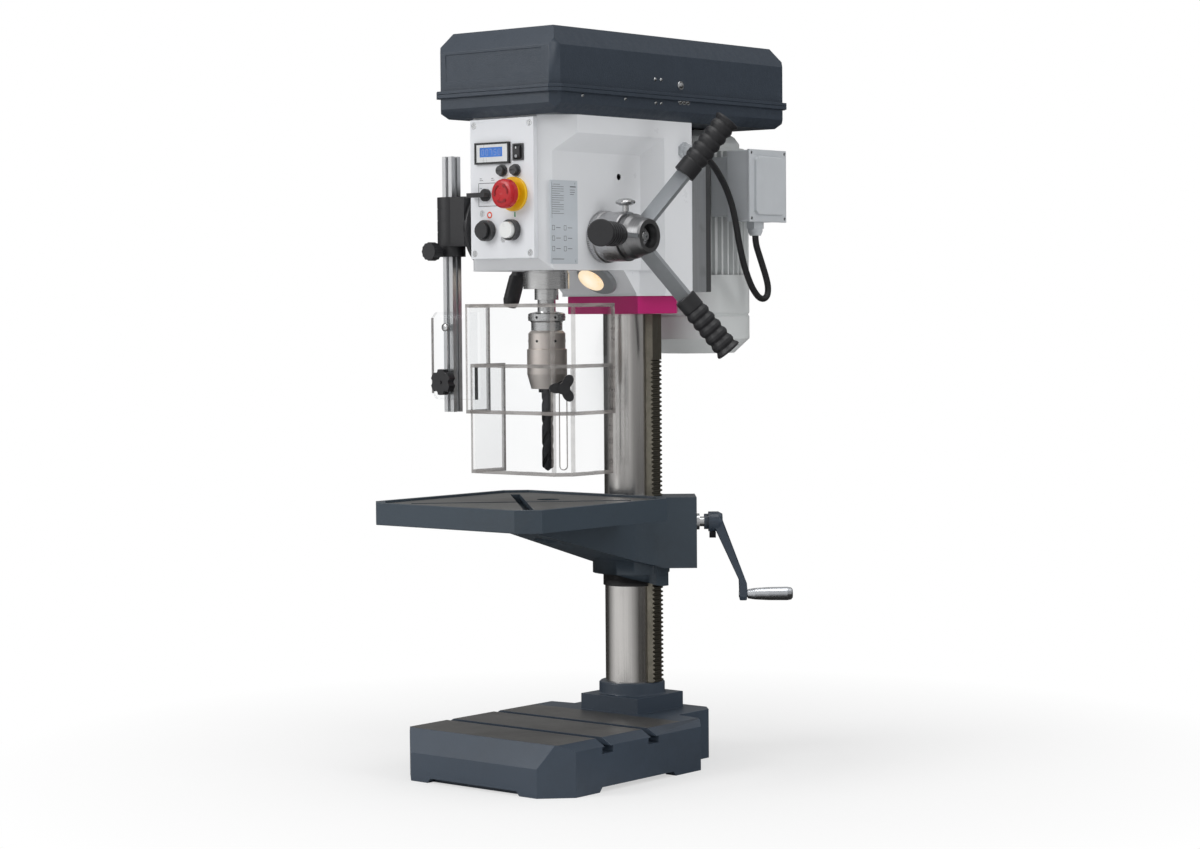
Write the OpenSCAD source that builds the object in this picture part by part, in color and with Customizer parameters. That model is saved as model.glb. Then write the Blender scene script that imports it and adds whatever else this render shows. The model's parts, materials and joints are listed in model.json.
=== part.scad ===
// Bench drill press: cast base and pillar, rack-raised table, geared quill,
// belt drive under a hinged cover, side motor and a sliding chuck guard.
// The origin is on the pillar axis at floor level; the operator stands at -Y.

/* [Base and pillar] */
// Half width of the base foot
base_half_w = 151; // [145:0.5:156]
// Distance from the pillar axis to the front of the base
base_front = 340; // [330:1:350]
// Height of the machined top of the base
base_h = 70; // [66:0.5:72]
// Half width of the square pad under the pillar
pad_half = 52; // [50:0.5:56]
// Radius of the collar that grips the pillar
collar_r = 47; // [46:0.5:50]
// Pillar radius
pillar_r = 37.5; // [37:0.1:37.5]
// Height of the top of the pillar inside the head
pillar_top = 880; // [860:1:884]

/* [Table] */
// Half width of the table
table_half_w = 150; // [142:1:154]
// Distance from the pillar axis to the front edge of the table
table_front = 391; // [380:1:396]
// Distance from the pillar axis to the rear edge of the table
table_rear = 80; // [76:1:84]
// Height of the table top at rest
table_top = 383; // [380:0.5:384]
// Depth of the table rim
table_thick = 30; // [26:1:32]
// Throw of the table crank
crank_throw = 104; // [90:1:108]

/* [Head] */
// Distance from the pillar axis to the front of the head
head_front = 262; // [260:1:264]
// Half width of the head
head_half_w = 95; // [92:0.5:95]
// Distance from the pillar axis to the spindle axis
throat = 180; // [179:0.5:181]
// Height of the lower edge of the front of the head
head_low = 695; // [694:0.5:696]
// Quill radius
quill_r = 30; // [29:0.1:30]
// Drill radius
drill_r = 8; // [4:0.5:8]

/* [Cover and motor] */
// Half width of the belt cover
cover_half_w = 108; // [106:0.5:110]
// Height of the belt cover above the head
cover_h = 116.5; // [100:0.5:130]
// Distance from the pillar axis to the motor axis
motor_y = 155; // [154:0.5:157]
// Radius over the motor fins
motor_r = 78; // [76:0.5:78]

/* [Chuck guard] */
// Thickness of the clear guard sheets
sheet_t = 4; // [3:0.5:4]
// Height of the lower edge of the upper sheet
upper_low = 500; // [496:1:504]
// Height of the lower edge of the sliding sheet
lower_low = 418; // [417:0.5:422]

/* [Hidden] */

// Colours
c_grey = "#3f4a52";
c_white = "#dfe1e2";
c_black = "#202224";
c_steel = "#b9bcc0";
c_dark_steel = "#5d6064";
c_magenta = "#8e1450";
c_clear = "#cfd8dc";
c_motor = "#c9cdcd";

// Running clearance of a shaft in its bore, on the radius
fit = 0.03;
// Gap between parts that pass each other without a fit
gap = 0.4;

// Gear data shared by the table lift and the quill feed
gear_module = 2;
gear_teeth = 12;
gear_pitch_r = gear_module * gear_teeth / 2;
rack_pitch = PI * gear_module;
rack_addendum = 1.4;
backlash = 0.5;

// Base
base_rear = 35;
base_rear_end = 77;
base_rear_half_w = 96;
base_corner = 37;
pad_top = base_h + 22.5;
collar_top = pad_top + 17.5;
slot_w = 13;
slot_depth = 17;
slot_head_w = 22;
slot_head_h = 9;
slot_y = [-238, -140];
foot_w = 18;
screw_r = 3.98;
collar_screw_z = pad_top + 9;

// Table and its lift
table_low = table_top - table_thick;
table_corner = 25.5;
rim_w = 9;
rim_h = 3;
boss_r = 55;
boss_low = 266;
guide_low = 248;
guide_r = 40;
block_low = 276;
block_face = 62;
wedge_tip = -294;
wedge_end = -10;
lug_dir = 135;
lug_screw_u = 68;
lug_screw_z = 322;
lug_half = 17;
shaft_r = 7;
lift_dir = 40;
rack_depth = 12.5;
rack_face = pillar_r + rack_depth;
rack_w = 20;
rack_back = 36.6;
pinion_x = rack_face - rack_addendum + gear_pitch_r;
pinion_z = 318;
rack_low = collar_top + 0.6;
rack_teeth_top = 570;
wheel_y = 26;
wheel_r = 13;
wheel_teeth = 20;
crank_z = pinion_z + wheel_r + shaft_r + gap;
block_end = 92;
hub_start = 104;
shaft_inner_u = 47;

// Head
head_top = 902;
head_rear = 25;
panel_half_w = 57;
panel_t = 8;
recess_x = 71;
recess_rear = -61;
recess_top = 854;
slope_start = -100;
clamp_low = 634.5;
clamp_top = 659.5;
slope_end = -66;
slope_low = clamp_top + 3;
slope_angle = atan((head_low + 1 - slope_low) / (slope_end - slope_start));
lamp_x = 15;
lamp_y = -89.4;
lamp_z = head_low + 1 - (lamp_y - slope_start) * tan(slope_angle);
lamp_r = 21;
lamp_shift = 8;
lens_r = 19.5;
bezel_r = 30.5;
clamp_front = 60;
clamp_half_w = 64.5;
clamp_screw_y = 49;
clamp_head_x = 30;
clamp_screw_z = clamp_low + 12.5;
feed_y = -throat + 37;
feed_z = 740;
cavity_depth = 40;
stop_stem_r = 8;
rocker_x = 30.5;
rocker_z = 853;
feed_r = 9;

// Spindle
collar_low = 670;
nose_r = 16.5;
nose_low = 655;
spindle_r = 13;
spindle_top_r = 10;
spindle_top = 985;
quill_top = 852;
chuck_ring_r = 25.5;
sleeve_r = 27.5;
chuck_low = 533;
drill_low = 419.5;

// Feed handle
hub_end = 153;
hub_recess = 16;
ring_start = recess_x + 0.6;
ring_end = 118;
ring_knob_x = 111;
arm_angles = [60, 180, 300];
arm_half_w = 13;
arm_half_t = 2.8;
arm_inner_r = 18;
arm_flare = 27;
arm_root_x = 125;
arm_len = 203;
grip_len = 95;
grip_r = 16.5;

// Cover
cover_front = -284;
cover_back = 236;
cover_top = head_top + cover_h;
seam = 935;
lip = 5;
wall = 3;
hinge_x = -cover_half_w - lip - 6.5;
knuckle_y = [-150, 60];

// Motor
motor_top = 868;
fan_top = 690;
motor_low = 576;
box_x = 134;
box_left = 97;
box_front = 103;
box_w = 87;
box_low = 765;
box_h = 101;
pulley_low = 862;
gland_z = 862;
gland_y = 5;
box_gland = [118, 143];
belt_z = 943;
spindle_sheave_r = 45;
motor_sheave_r = 30;
pulley_hub_r = 19;
belt_half_t = 3;
belt_half_h = 5.7;

// Guard
bar_x = -138;
bar_y = -221;
bar_w = 18;
bar_low = 500;
bar_top = 855;
mount_low = 730;
mount_top = 798.5;
collar_ring_low = 716;
guard_half_w = 78.5;
guard_front = -260;
guard_right = 99;
guard_chamfer = 20.5;
upper_top = upper_low + 150;
sheet_gap = 0.6;

// ---- Helpers ----

// Cylinder along X starting at x = 0
module rod_x(r, h, fn = 64) {
  rotate([0, 90, 0]) cylinder(r = r, h = h, $fn = fn);
}

// Cylinder along Y starting at y = 0
module rod_y(r, h, fn = 64) {
  rotate([-90, 0, 0]) cylinder(r = r, h = h, $fn = fn);
}

// Box centred on X and Y, standing on z = 0
module block(x, y, z) {
  translate([-x / 2, -y / 2, 0]) cube([x, y, z]);
}

// Solid of revolution about Z from a list of [radius, height] points
module turned(points, fn = 96) {
  rotate_extrude($fn = fn) polygon(points);
}

// Hexagonal prism across flats
module hex(flats, h) {
  cylinder(r = flats / sqrt(3), h = h, $fn = 6);
}

// Hexagon socket cap screw head with its socket, head up, seated on z = 0
module cap_head(r, h) {
  difference() {
    cylinder(r = r, h = h, $fn = 32);
    translate([0, 0, h * 0.45]) hex(r, h);
  }
}

// Plan rectangle with four cut corners
function cut_rect(x0, y0, x1, y1, c) = [
  [x0 + c, y0], [x1 - c, y0], [x1, y0 + c], [x1, y1 - c],
  [x1 - c, y1], [x0 + c, y1], [x0, y1 - c], [x0, y0 + c]
];

// Profile in the YZ plane pushed along X, centred
module along_x(width) {
  translate([-width / 2, 0, 0]) rotate([90, 0, 90]) linear_extrude(height = width) children();
}

// Profile in the XZ plane pushed along Y from y0 to y1
module along_y(y0, y1) {
  translate([0, y1, 0]) rotate([90, 0, 0]) linear_extrude(height = y1 - y0) children();
}

// Involute of the pinion: angle in degrees at radius q from base radius rb
function inv_angle(q, rb) = let (a = acos(min(1, rb / q))) tan(a) * 180 / PI - a;

// Outline of a spur pinion with its first tooth on +X
function pinion_outline(teeth, r, tip, root) =
  let (
    rb = r * cos(20),
    half = 90 / teeth - backlash / 2 / r * 180 / PI / 2,
    at_pitch = inv_angle(r, rb),
    radii = [for (i = [0:5]) max(rb, root) + (tip - max(rb, root)) * i / 5]
  )
  [for (k = [0:teeth - 1]) let (c = k * 360 / teeth) each concat(
    [for (p = [[root, -half - at_pitch]]) [p[0] * cos(c + p[1]), p[0] * sin(c + p[1])]],
    [for (q = radii) let (a = -half - at_pitch + inv_angle(q, rb)) [q * cos(c + a), q * sin(c + a)]],
    [for (i = [5:-1:0]) let (q = radii[i], a = half + at_pitch - inv_angle(q, rb))
      [q * cos(c + a), q * sin(c + a)]],
    [for (p = [[root, half + at_pitch]]) [p[0] * cos(c + p[1]), p[0] * sin(c + p[1])]]
  )];

// Spur pinion along Z, tooth on +X
module pinion(width) {
  linear_extrude(height = width)
    polygon(pinion_outline(gear_teeth, gear_pitch_r, gear_pitch_r + 1.6, gear_pitch_r - 2));
}

// Rack outline: length runs along the first axis, teeth point along the second.
// A gap is centred on length 0; the pitch line is at 0.
function rack_outline(first, last, back) =
  let (
    q = rack_pitch / 4 - backlash / 4,
    tip = q - rack_addendum * tan(20),
    foot = q + 2 * tan(20)
  )
  concat(
    [[(first + 0.5) * rack_pitch - rack_pitch / 2, back],
     [(first + 0.5) * rack_pitch - rack_pitch / 2, -2]],
    [for (k = [first:last]) let (c = (k + 0.5) * rack_pitch) each
      [[c - foot, -2], [c - tip, rack_addendum], [c + tip, rack_addendum], [c + foot, -2]]],
    [[(last + 1) * rack_pitch, -2], [(last + 1) * rack_pitch, back]]
  );

// Closed belt outline around two pulleys d apart along +Y, as one solid shape
module belt_shape(r1, r2, d) {
  a = asin((r1 - r2) / d);
  circle(r = r1, $fn = 96);
  translate([0, d]) circle(r = r2, $fn = 96);
  polygon([
    [r1 * cos(a), r1 * sin(a)], [r2 * cos(a), d + r2 * sin(a)],
    [-r2 * cos(a), d + r2 * sin(a)], [-r1 * cos(a), r1 * sin(a)]
  ]);
}

// ---- Base and pillar ----

// Ribbed box foot with two T-slots, a square pad and the pillar collar
module base_casting() {
  color(c_grey) difference() {
    union() {
      intersection() {
        linear_extrude(height = base_h)
          polygon([
            [-base_half_w + base_corner, -base_front], [base_half_w - base_corner, -base_front],
            [base_half_w, -base_front + base_corner], [base_half_w, -base_rear],
            [base_half_w - 12, -base_rear + 14], [base_rear_half_w, -base_rear + 20],
            [base_rear_half_w, base_rear_end - 22], [base_rear_half_w - 22, base_rear_end],
            [-base_rear_half_w + 22, base_rear_end], [-base_rear_half_w, base_rear_end - 22],
            [-base_rear_half_w, -base_rear + 20], [-base_half_w + 12, -base_rear + 14],
            [-base_half_w, -base_rear], [-base_half_w, -base_front + base_corner]
          ]);
        along_x(2 * base_half_w + 2)
          polygon([
            [-base_front, 0], [-base_front, 39], [-base_front + 17, base_h],
            [base_rear_end - 6, base_h], [base_rear_end, base_h - 9], [base_rear_end, 0]
          ]);
        along_y(-base_front - 1, base_rear_end + 1)
          polygon([
            [-base_half_w, 0], [-base_half_w, base_h - 9], [-base_half_w + 16, base_h],
            [base_half_w - 16, base_h], [base_half_w, base_h - 9], [base_half_w, 0]
          ]);
      }
      translate([0, 0, base_h - 1]) block(2 * pad_half, 2 * pad_half, pad_top - base_h + 1);
      turned([[0, pad_top - 1], [collar_r + 2, pad_top - 1], [collar_r + 2, pad_top],
              [collar_r, pad_top + 3], [collar_r, collar_top - 2], [collar_r - 2, collar_top],
              [0, collar_top]]);
    }
    translate([0, 0, 24]) cylinder(r = pillar_r, h = 200, $fn = 128);
    for (y = slot_y) {
      translate([-base_half_w - 1, y - slot_w / 2, base_h - slot_depth])
        cube([2 * base_half_w + 2, slot_w, slot_depth + 1]);
      translate([-base_half_w - 1, y - slot_head_w / 2, base_h - slot_depth - 2])
        cube([2 * base_half_w + 2, slot_head_w, slot_head_h]);
    }
    for (y = [[-base_front + foot_w, -184], [-172, -base_rear - foot_w]])
      translate([0, 0, -1]) linear_extrude(height = base_h - 31)
        polygon(cut_rect(-base_half_w + foot_w, y[0], base_half_w - foot_w, y[1], 24));
    translate([0, -base_front + 12, 0]) rotate([90, 0, 0]) linear_extrude(height = 20)
      polygon([[-84, -1], [84, -1], [78, 6.5], [-78, 6.5]]);
    translate([-base_half_w - 1, 0, 0]) rotate([90, 0, 90]) linear_extrude(height = 2 * base_half_w + 2)
      polygon([[-256, -1], [-90, -1], [-96, 6.5], [-249, 6.5]]);
    for (a = [60, 130, 200]) rotate([0, 0, a])
      translate([pillar_r - 1, 0, collar_screw_z]) rod_x(screw_r + 0.02, 14, 32);
  }
}

// Ground steel tube
module column_tube() {
  color(c_steel) difference() {
    translate([0, 0, 24]) cylinder(r = pillar_r, h = pillar_top - 24, $fn = 128);
    translate([0, 0, 23]) cylinder(r = pillar_r - 6, h = pillar_top, $fn = 96);
  }
}

// Socket screws of the pillar collar and of the clamp block under the head
module clamp_screws() {
  color(c_dark_steel) {
    for (a = [60, 130, 200]) rotate([0, 0, a]) translate([pillar_r + 0.2, 0, collar_screw_z])
      difference() {
        rod_x(screw_r, 9, 32);
        translate([5, 0, 0]) rotate([0, 90, 0]) hex(4, 10);
      }
    translate([clamp_head_x, clamp_screw_y, clamp_screw_z]) rotate([0, 90, 0]) {
      cap_head(7, 6);
      translate([0, 0, -60]) cylinder(r = screw_r, h = 60.5, $fn = 32);
    }
  }
}

// Toothed rack that the table climbs; it stands between base collar and head
module column_rack() {
  first = floor((rack_low - pinion_z) / rack_pitch) + 1;
  last = floor((rack_teeth_top - pinion_z) / rack_pitch) - 1;
  color(c_dark_steel) difference() {
    union() {
      translate([rack_face - rack_addendum, rack_w / 2, pinion_z])
        rotate([90, 0, 0]) linear_extrude(height = rack_w) rotate(90) mirror([0, 1])
          polygon(rack_outline(first, last, -9));
      translate([rack_back, -rack_w / 2, rack_low])
        cube([9, rack_w, clamp_low - rack_low - 0.6]);
      translate([rack_back, -rack_w / 2, pinion_z + (last + 1) * rack_pitch])
        cube([rack_face - rack_back, rack_w, clamp_low - 0.6 - pinion_z - (last + 1) * rack_pitch]);
    }
    cylinder(r = pillar_r + 0.3, h = 800, $fn = 128);
  }
}

// ---- Table and its lift ----

// Plan outline of the table
function table_outline(inset) = cut_rect(
  -table_half_w + inset, -table_front + inset, table_half_w - inset, -table_rear - inset,
  table_corner
);

// Table plate, arm, pillar boss and gear housing in one casting
module table_casting() {
  centre_y = -(table_front + table_rear) / 2;
  color(c_grey) difference() {
    union() {
      intersection() {
        translate([0, 0, table_low]) linear_extrude(height = table_thick) polygon(table_outline(0));
        along_x(2 * table_half_w + 2)
          polygon([[-table_front, table_low + 2], [-table_front + 2, table_low],
                   [0, table_low], [0, table_top], [-table_front, table_top]]);
      }
      intersection() {
        along_x(150)
          polygon([[wedge_tip, table_low + 2], [wedge_tip, table_low], [wedge_end, block_low],
                   [wedge_end, table_low + 2]]);
        translate([0, 0, 200]) linear_extrude(height = 200) {
          polygon([[-22, wedge_tip], [22, wedge_tip], [54, -30], [54, wedge_end], [-54, wedge_end],
                   [-54, -30]]);
          polygon([[46, -28], [50, -60], [53.8, -45.5], [61, -32.3], [71, -21]]);
        }
      }
      translate([0, 0, boss_low]) cylinder(r = boss_r, h = table_low + 8 - boss_low, $fn = 128);
      translate([0, 0, guide_low]) cylinder(r = guide_r, h = boss_low - guide_low + 1, $fn = 128);
      rotate([0, 0, lift_dir]) along_y(-block_face, 12)
        polygon([[8, block_low + 12], [46, block_low], [block_end, block_low], [block_end, 376], [8, 376]]);
      intersection() {
        union() {
          translate([rack_face - 16, -14, guide_low]) cube([23, 28, 40]);
          translate([0, 0, guide_low]) cylinder(r = guide_r + 6, h = boss_low - guide_low + 1, $fn = 128);
        }
        rotate([0, 0, lift_dir]) along_y(-60, 60)
          polygon([[-34, boss_low + 2], [44, guide_low], [70, guide_low], [70, 300], [-34, 300]]);
      }
      rotate([0, 0, lug_dir]) translate([30, -lug_half, lug_screw_z - 22]) cube([48, 2 * lug_half, 44]);
    }
    translate([0, 0, table_top - rim_h]) linear_extrude(height = 10)
      polygon(table_outline(rim_w));
    translate([0, 0, 200]) cylinder(r = pillar_r + fit, h = 300, $fn = 128);
    translate([30, -rack_w / 2 - gap, 200]) cube([rack_face + gap - 30, rack_w + 2 * gap, 300]);
    translate([pinion_x, -13, pinion_z]) rod_y(gear_pitch_r + 2.4, 26, 64);
    translate([pinion_x, wheel_y - 8, pinion_z]) rod_y(wheel_r + 1, 16, 64);
    translate([pinion_x, -19, pinion_z]) rod_y(shaft_r + fit, 61, 64);
    translate([pinion_x, wheel_y, crank_z]) rotate([0, 0, lift_dir])
      translate([-32, 0, 0]) rod_x(shaft_r + fit, 120, 64);
    translate([0, centre_y, table_top - rim_h - 7]) for (a = [45, -45]) rotate([0, 0, a]) {
      translate([-150, -6.5, -4]) cube([300, 13, 20]);
      translate([-150, -11, -6]) cube([300, 22, 7]);
    }
    translate([0, -throat, table_low - 60]) cylinder(r = 16, h = 100, $fn = 64);
    translate([0, -throat, table_low - 60]) cylinder(r = 20, h = 60, $fn = 64);
    for (side = [-1, 1]) translate([side * 98 - 34, -table_front + 16, table_low - 1])
      cube([68, table_front - table_rear - 32, 11]);
    rotate([0, 0, lug_dir]) {
      translate([20, -1.5, guide_low - 1]) cube([80, 3, 200]);
      translate([lug_screw_u, -lug_half - 1, lug_screw_z]) rod_y(5 + fit, 2 * lug_half - 7, 48);
    }
  }
}

// Ball-ended lever that locks the table to the pillar
module table_clamp_lever() {
  color(c_black) rotate([0, 0, lug_dir]) translate([lug_screw_u, -lug_half, lug_screw_z]) {
    translate([0, -gap - 13, 0]) rod_y(9, 13, 48);
    translate([0, -gap - 1, 0]) rod_y(5, 2 * lug_half - 8, 48);
    translate([0, -gap - 7, 0]) rotate([0, 135, 0]) {
      cylinder(r = 4.5, h = 66, $fn = 32);
      translate([0, 0, 72]) sphere(r = 11, $fn = 48);
    }
  }
}

// Cross shaft with the rack pinion and the toothed lift wheel
module lift_pinion_shaft() {
  color(c_steel) translate([pinion_x, 0, pinion_z]) {
    translate([0, -18.5, 0]) rod_y(shaft_r, 58.5, 64);
    translate([0, -10, 0]) rotate([-90, 0, 0]) rotate(180) pinion(20);
    translate([0, wheel_y - 6, 0]) rotate([-90, 0, 0]) linear_extrude(height = 12)
      polygon([for (k = [0:2 * wheel_teeth - 1])
        let (r = k % 2 == 0 ? wheel_r : wheel_r - 1.6, a = k * 180 / wheel_teeth)
        each [[r * cos(a - 2.6), r * sin(a - 2.6)], [r * cos(a + 2.6), r * sin(a + 2.6)]]]);
  }
}

// Place children on the crank axis, X pointing out of the housing
module on_crank() {
  translate([0, 0, crank_z]) rotate([0, 0, lift_dir])
    translate([0, wheel_y * cos(lift_dir) - pinion_x * sin(lift_dir), 0]) children();
}

// Crank shaft with its worm and collar
module crank_shaft() {
  color(c_steel) on_crank() {
    difference() {
      translate([shaft_inner_u, 0, 0]) rod_x(shaft_r, hub_start + 20 - shaft_inner_u, 64);
      translate([hub_start + 12, 0, 5]) cylinder(r = 2, h = 4, $fn = 24);
    }
    translate([block_end + 0.3, 0, 0]) rod_x(11.5, 5, 64);
  }
}

// Cast crank arm with its hub and handle boss
module crank_arm() {
  pin_x = hub_start + 55;
  color(c_grey) on_crank() difference() {
    union() {
      translate([hub_start, 0, 0]) rod_x(11, 7, 64);
      translate([hub_start + 6, 0, 0]) rotate([0, 90, 0])
        turned([[0, 0], [14.2, 0], [14.2, 14], [11, 20], [0, 20]], 64);
      intersection() {
        translate([0, 11, 0]) rotate([90, 0, 0]) linear_extrude(height = 22)
          polygon([
            [hub_start + 14, 8], [hub_start + 24, 8], [hub_start + 60, -crank_throw + 16],
            [hub_start + 61, -crank_throw + 4], [hub_start + 60, -crank_throw - 9],
            [hub_start + 50, -crank_throw - 9], [hub_start + 49, -crank_throw + 20],
            [hub_start + 17, -14]
          ]);
        rotate([90, 0, 90]) linear_extrude(height = 300)
          polygon([[-11, 10], [11, 10], [9, -crank_throw - 4], [5, -crank_throw - 9],
                   [-5, -crank_throw - 9], [-9, -crank_throw - 4]]);
      }
    }
    translate([hub_start - 1, 0, 0]) rod_x(shaft_r + fit, 21.2, 64);
    translate([hub_start + 12, 0, -20]) cylinder(r = 4, h = 14, $fn = 32);
    translate([pin_x - 12, 0, -crank_throw]) rod_x(5, 30, 48);
  }
}

// Square-headed screw under the crank hub
module crank_arm_screw() {
  color(c_dark_steel) on_crank() translate([hub_start + 12, 0, 0]) {
    translate([0, 0, -15]) cylinder(r = 3.98, h = 7.5, $fn = 32);
    translate([0, 0, -23]) block(9, 9, 8.2);
  }
}

// Free-spinning aluminium handle on its pin
module crank_handle() {
  color(c_steel) on_crank() translate([hub_start + 49, 0, -crank_throw]) {
    rod_x(4.95, 14, 48);
    translate([12.6, 0, 0]) rotate([0, 90, 0])
      turned([[0, 0], [6.6, 0], [8.2, 10], [9.3, 30], [9.6, 56], [8.6, 62], [6, 64], [0, 64]], 64);
  }
}

// ---- Head ----

// Plan outline of the head between its cut front corners and its flat rear
function head_plan() = [
  [-panel_half_w, -head_front], [panel_half_w, -head_front],
  [head_half_w, -head_front + head_half_w - panel_half_w], [head_half_w, head_rear],
  [-head_half_w, head_rear], [-head_half_w, -head_front + head_half_w - panel_half_w]
];

// Main casting: front box, recessed right side, pillar boss, quill bore
module head_casting() {
  chamfer = head_half_w - recess_x;
  color(c_white) difference() {
    union() {
      intersection() {
        translate([0, 0, head_low]) linear_extrude(height = head_top - head_low) polygon(head_plan());
        along_x(2 * head_half_w + 2)
          polygon([[-head_front - 1, 711], [-head_front + 16, head_low], [head_rear, head_low],
                   [head_rear, head_top], [-head_front - 1, head_top]]);
      }
      intersection() {
        along_x(2 * head_half_w + 2)
          polygon([[slope_start, head_low + 1], [slope_end, slope_low], [slope_end, clamp_top],
                   [head_rear, clamp_top], [head_rear, head_low + 1]]);
        translate([0, 0, 600]) linear_extrude(height = 200)
          polygon([[-71, slope_start], [71, slope_start], [66, -58], [head_half_w, -36],
                   [head_half_w, head_rear], [-head_half_w, head_rear], [-head_half_w, -36],
                   [-66, -58]]);
      }
      translate([0, 0, clamp_top]) cylinder(r = 52, h = head_top - 20 - clamp_top, $fn = 128);
    }
    intersection() {
      translate([0, 0, 600]) linear_extrude(height = 400)
        polygon([[recess_x, -400], [200, -400], [200, recess_rear + 129],
                 [recess_x + 129, recess_rear + 129], [recess_x, recess_rear]]);
      along_y(-400, 200)
        polygon([[recess_x, 600], [300, 600], [300, recess_top + 300 - recess_x],
                 [recess_x, recess_top]]);
    }
    translate([0, 0, 600]) cylinder(r = pillar_r, h = pillar_top - 600, $fn = 128);
    translate([0, -throat, 600]) cylinder(r = quill_r + fit, h = quill_top + 5 - 600, $fn = 96);
    translate([0, -throat, 700]) cylinder(r = pulley_hub_r + fit, h = 300, $fn = 96);
    translate([-head_half_w - 1, feed_y, feed_z]) rod_x(feed_r + fit, 200, 64);
    translate([-16, feed_y, feed_z]) rod_x(gear_pitch_r + 2.4, 32, 64);
    translate([-head_half_w - 1, feed_y, feed_z]) rod_x(24, 34, 64);
    translate([-46, -head_front - 1, 722]) cube([92, cavity_depth, 166]);
    translate([-70, -120, 720]) cube([140, 70, 200]);
    for (side = [-1, 1]) translate([side * 68 - 14, -40, 720]) cube([28, 55, 200]);
    for (p = panel_screw_spots()) translate([p[0], -head_front - 1, p[1]]) rod_y(2.5, 12, 24);
    on_lamp() translate([-lamp_shift, 0, -24.4]) cylinder(r = lamp_r, h = 60, $fn = 64);
    on_lamp() translate([0, 0, 0.02]) cylinder(r = bezel_r + 0.4, h = 40, $fn = 96);
    translate([head_half_w - 12, gland_y, gland_z]) rod_x(6, 14, 48);
    translate([recess_x - 8, -108, 823]) rod_x(4.5, 20, 32);
    translate([-head_half_w - 1, -95, 745]) rod_x(8 + fit, 24, 48);
  }
}

// Painted ring block that clamps the head to the pillar
module column_clamp_block() {
  color(c_magenta) difference() {
    translate([0, 0, clamp_low]) linear_extrude(height = clamp_top - clamp_low)
      polygon([[-clamp_half_w, -clamp_front], [clamp_half_w, -clamp_front], [clamp_half_w, 27],
               [42, 58], [-42, 58], [-clamp_half_w, 27]]);
    translate([0, 0, clamp_low - 1]) cylinder(r = pillar_r, h = 100, $fn = 128);
    translate([-1.5, 30, clamp_low - 1]) cube([3, 40, 100]);
    translate([clamp_head_x - 60, clamp_screw_y, clamp_screw_z]) rod_x(screw_r + 0.02, 61, 32);
    translate([clamp_head_x, clamp_screw_y, clamp_screw_z]) rod_x(7.5, 50, 48);
  }
}

// Corner screws of the front panel and the two screws in its middle
function panel_screw_spots() = [
  [-50, 891], [50, 891], [-50, 718], [50, 718], [-36, 772], [2, 737]
];

// Flat front panel that carries the controls
module front_panel() {
  color(c_white) difference() {
    translate([-panel_half_w, -head_front - panel_t, 711])
      cube([2 * panel_half_w, panel_t, head_top - 3 - 711]);
    for (p = panel_screw_spots()) translate([p[0], -head_front - panel_t - 1, p[1]]) {
      rod_y(2.5, 12, 24);
      rod_y(4.6, 3, 32);
    }
    translate([-42, -300, 842]) cube([54, 60, 22]);
    translate([rocker_x - 8, -300, rocker_z - 10.5]) cube([16, 60, 21]);
    for (x = [2, 26]) translate([x, -300, 829]) rod_y(6, 60, 32);
    translate([-28, -300, 797]) rod_y(5, 60, 32);
    translate([23, -300, 797]) rod_y(11, 60, 48);
    for (x = [-26, 19]) translate([x, -300, 749]) rod_y(11, 60, 48);
  }
}

// Cross-head screws of the front panel
module panel_screws() {
  color(c_steel) for (p = panel_screw_spots()) translate([p[0], -head_front - panel_t, p[1]])
    difference() {
      union() {
        translate([0, 0.4, 0]) rod_y(4.2, 1.4, 32);
        translate([0, 1.6, 0]) rod_y(2.48, 9, 24);
      }
      translate([-3, 0, -0.5]) cube([6, 1.2, 1]);
      translate([-0.5, 0, -3]) cube([1, 1.2, 6]);
    }
}

// Speed read-out: black frame, silver face and a window
module speed_counter() {
  color(c_black) difference() {
    union() {
      translate([-46, -head_front - panel_t - 4, 838.5]) cube([62, 4, 29]);
      translate([-41.5, -head_front - panel_t - 0.5, 842.5]) cube([53, 28, 21]);
    }
    translate([-43.5, -head_front - panel_t - 5, 841]) cube([57, 2.2, 24]);
    translate([-37, -head_front - panel_t - 5, 848]) cube([41, 3.4, 13]);
  }
}

// Rocker switch that tips about a level axis
module rocker_switch() {
  color(c_black) translate([rocker_x, -head_front - panel_t, rocker_z]) {
    intersection() {
      translate([-6.2, -5.5, -8.5]) cube([12.4, 13, 17]);
      translate([-7, 5, 0]) rod_x(11.5, 14, 64);
    }
    translate([-7.3, 5, 0]) rod_x(2, 14.6, 32);
  }
}

// Two screw-capped fuse holders, the bezels of the push buttons and the rocker's frame
module switch_bezels() {
  color(c_black) for (x = [2, 26]) translate([x, -head_front - panel_t, 829]) {
    translate([0, -3, 0]) rod_y(8, 3, 48);
    difference() {
      translate([0, -8, 0]) rod_y(6, 6, 48);
      translate([-4, -9, -0.7]) cube([8, 2.5, 1.4]);
    }
    translate([0, -0.5, 0]) rod_y(5.9, 30, 48);
  }
  color(c_black) for (x = [-26, 19]) translate([x, -head_front - panel_t, 749]) difference() {
    union() {
      translate([0, -9, 0]) rod_y(14.2, 9, 64);
      translate([0, -1, 0]) rod_y(10.9, 26, 48);
    }
    translate([0, -10, 0]) rod_y(11.5, 8, 64);
    translate([0, -20, 0]) rod_y(6, 60, 48);
  }
  color(c_black) translate([rocker_x, -head_front - panel_t, rocker_z]) difference() {
    union() {
      translate([-9.3, -2, -11.3]) cube([18.6, 2, 22.6]);
      translate([-7.95, -0.5, -10.4]) cube([15.9, 18, 20.8]);
    }
    translate([-6.8, -5, -9.6]) cube([13.6, 40, 19.2]);
    translate([-7.5, 5, 0]) rod_x(2 + fit, 15, 32);
  }
}

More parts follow.
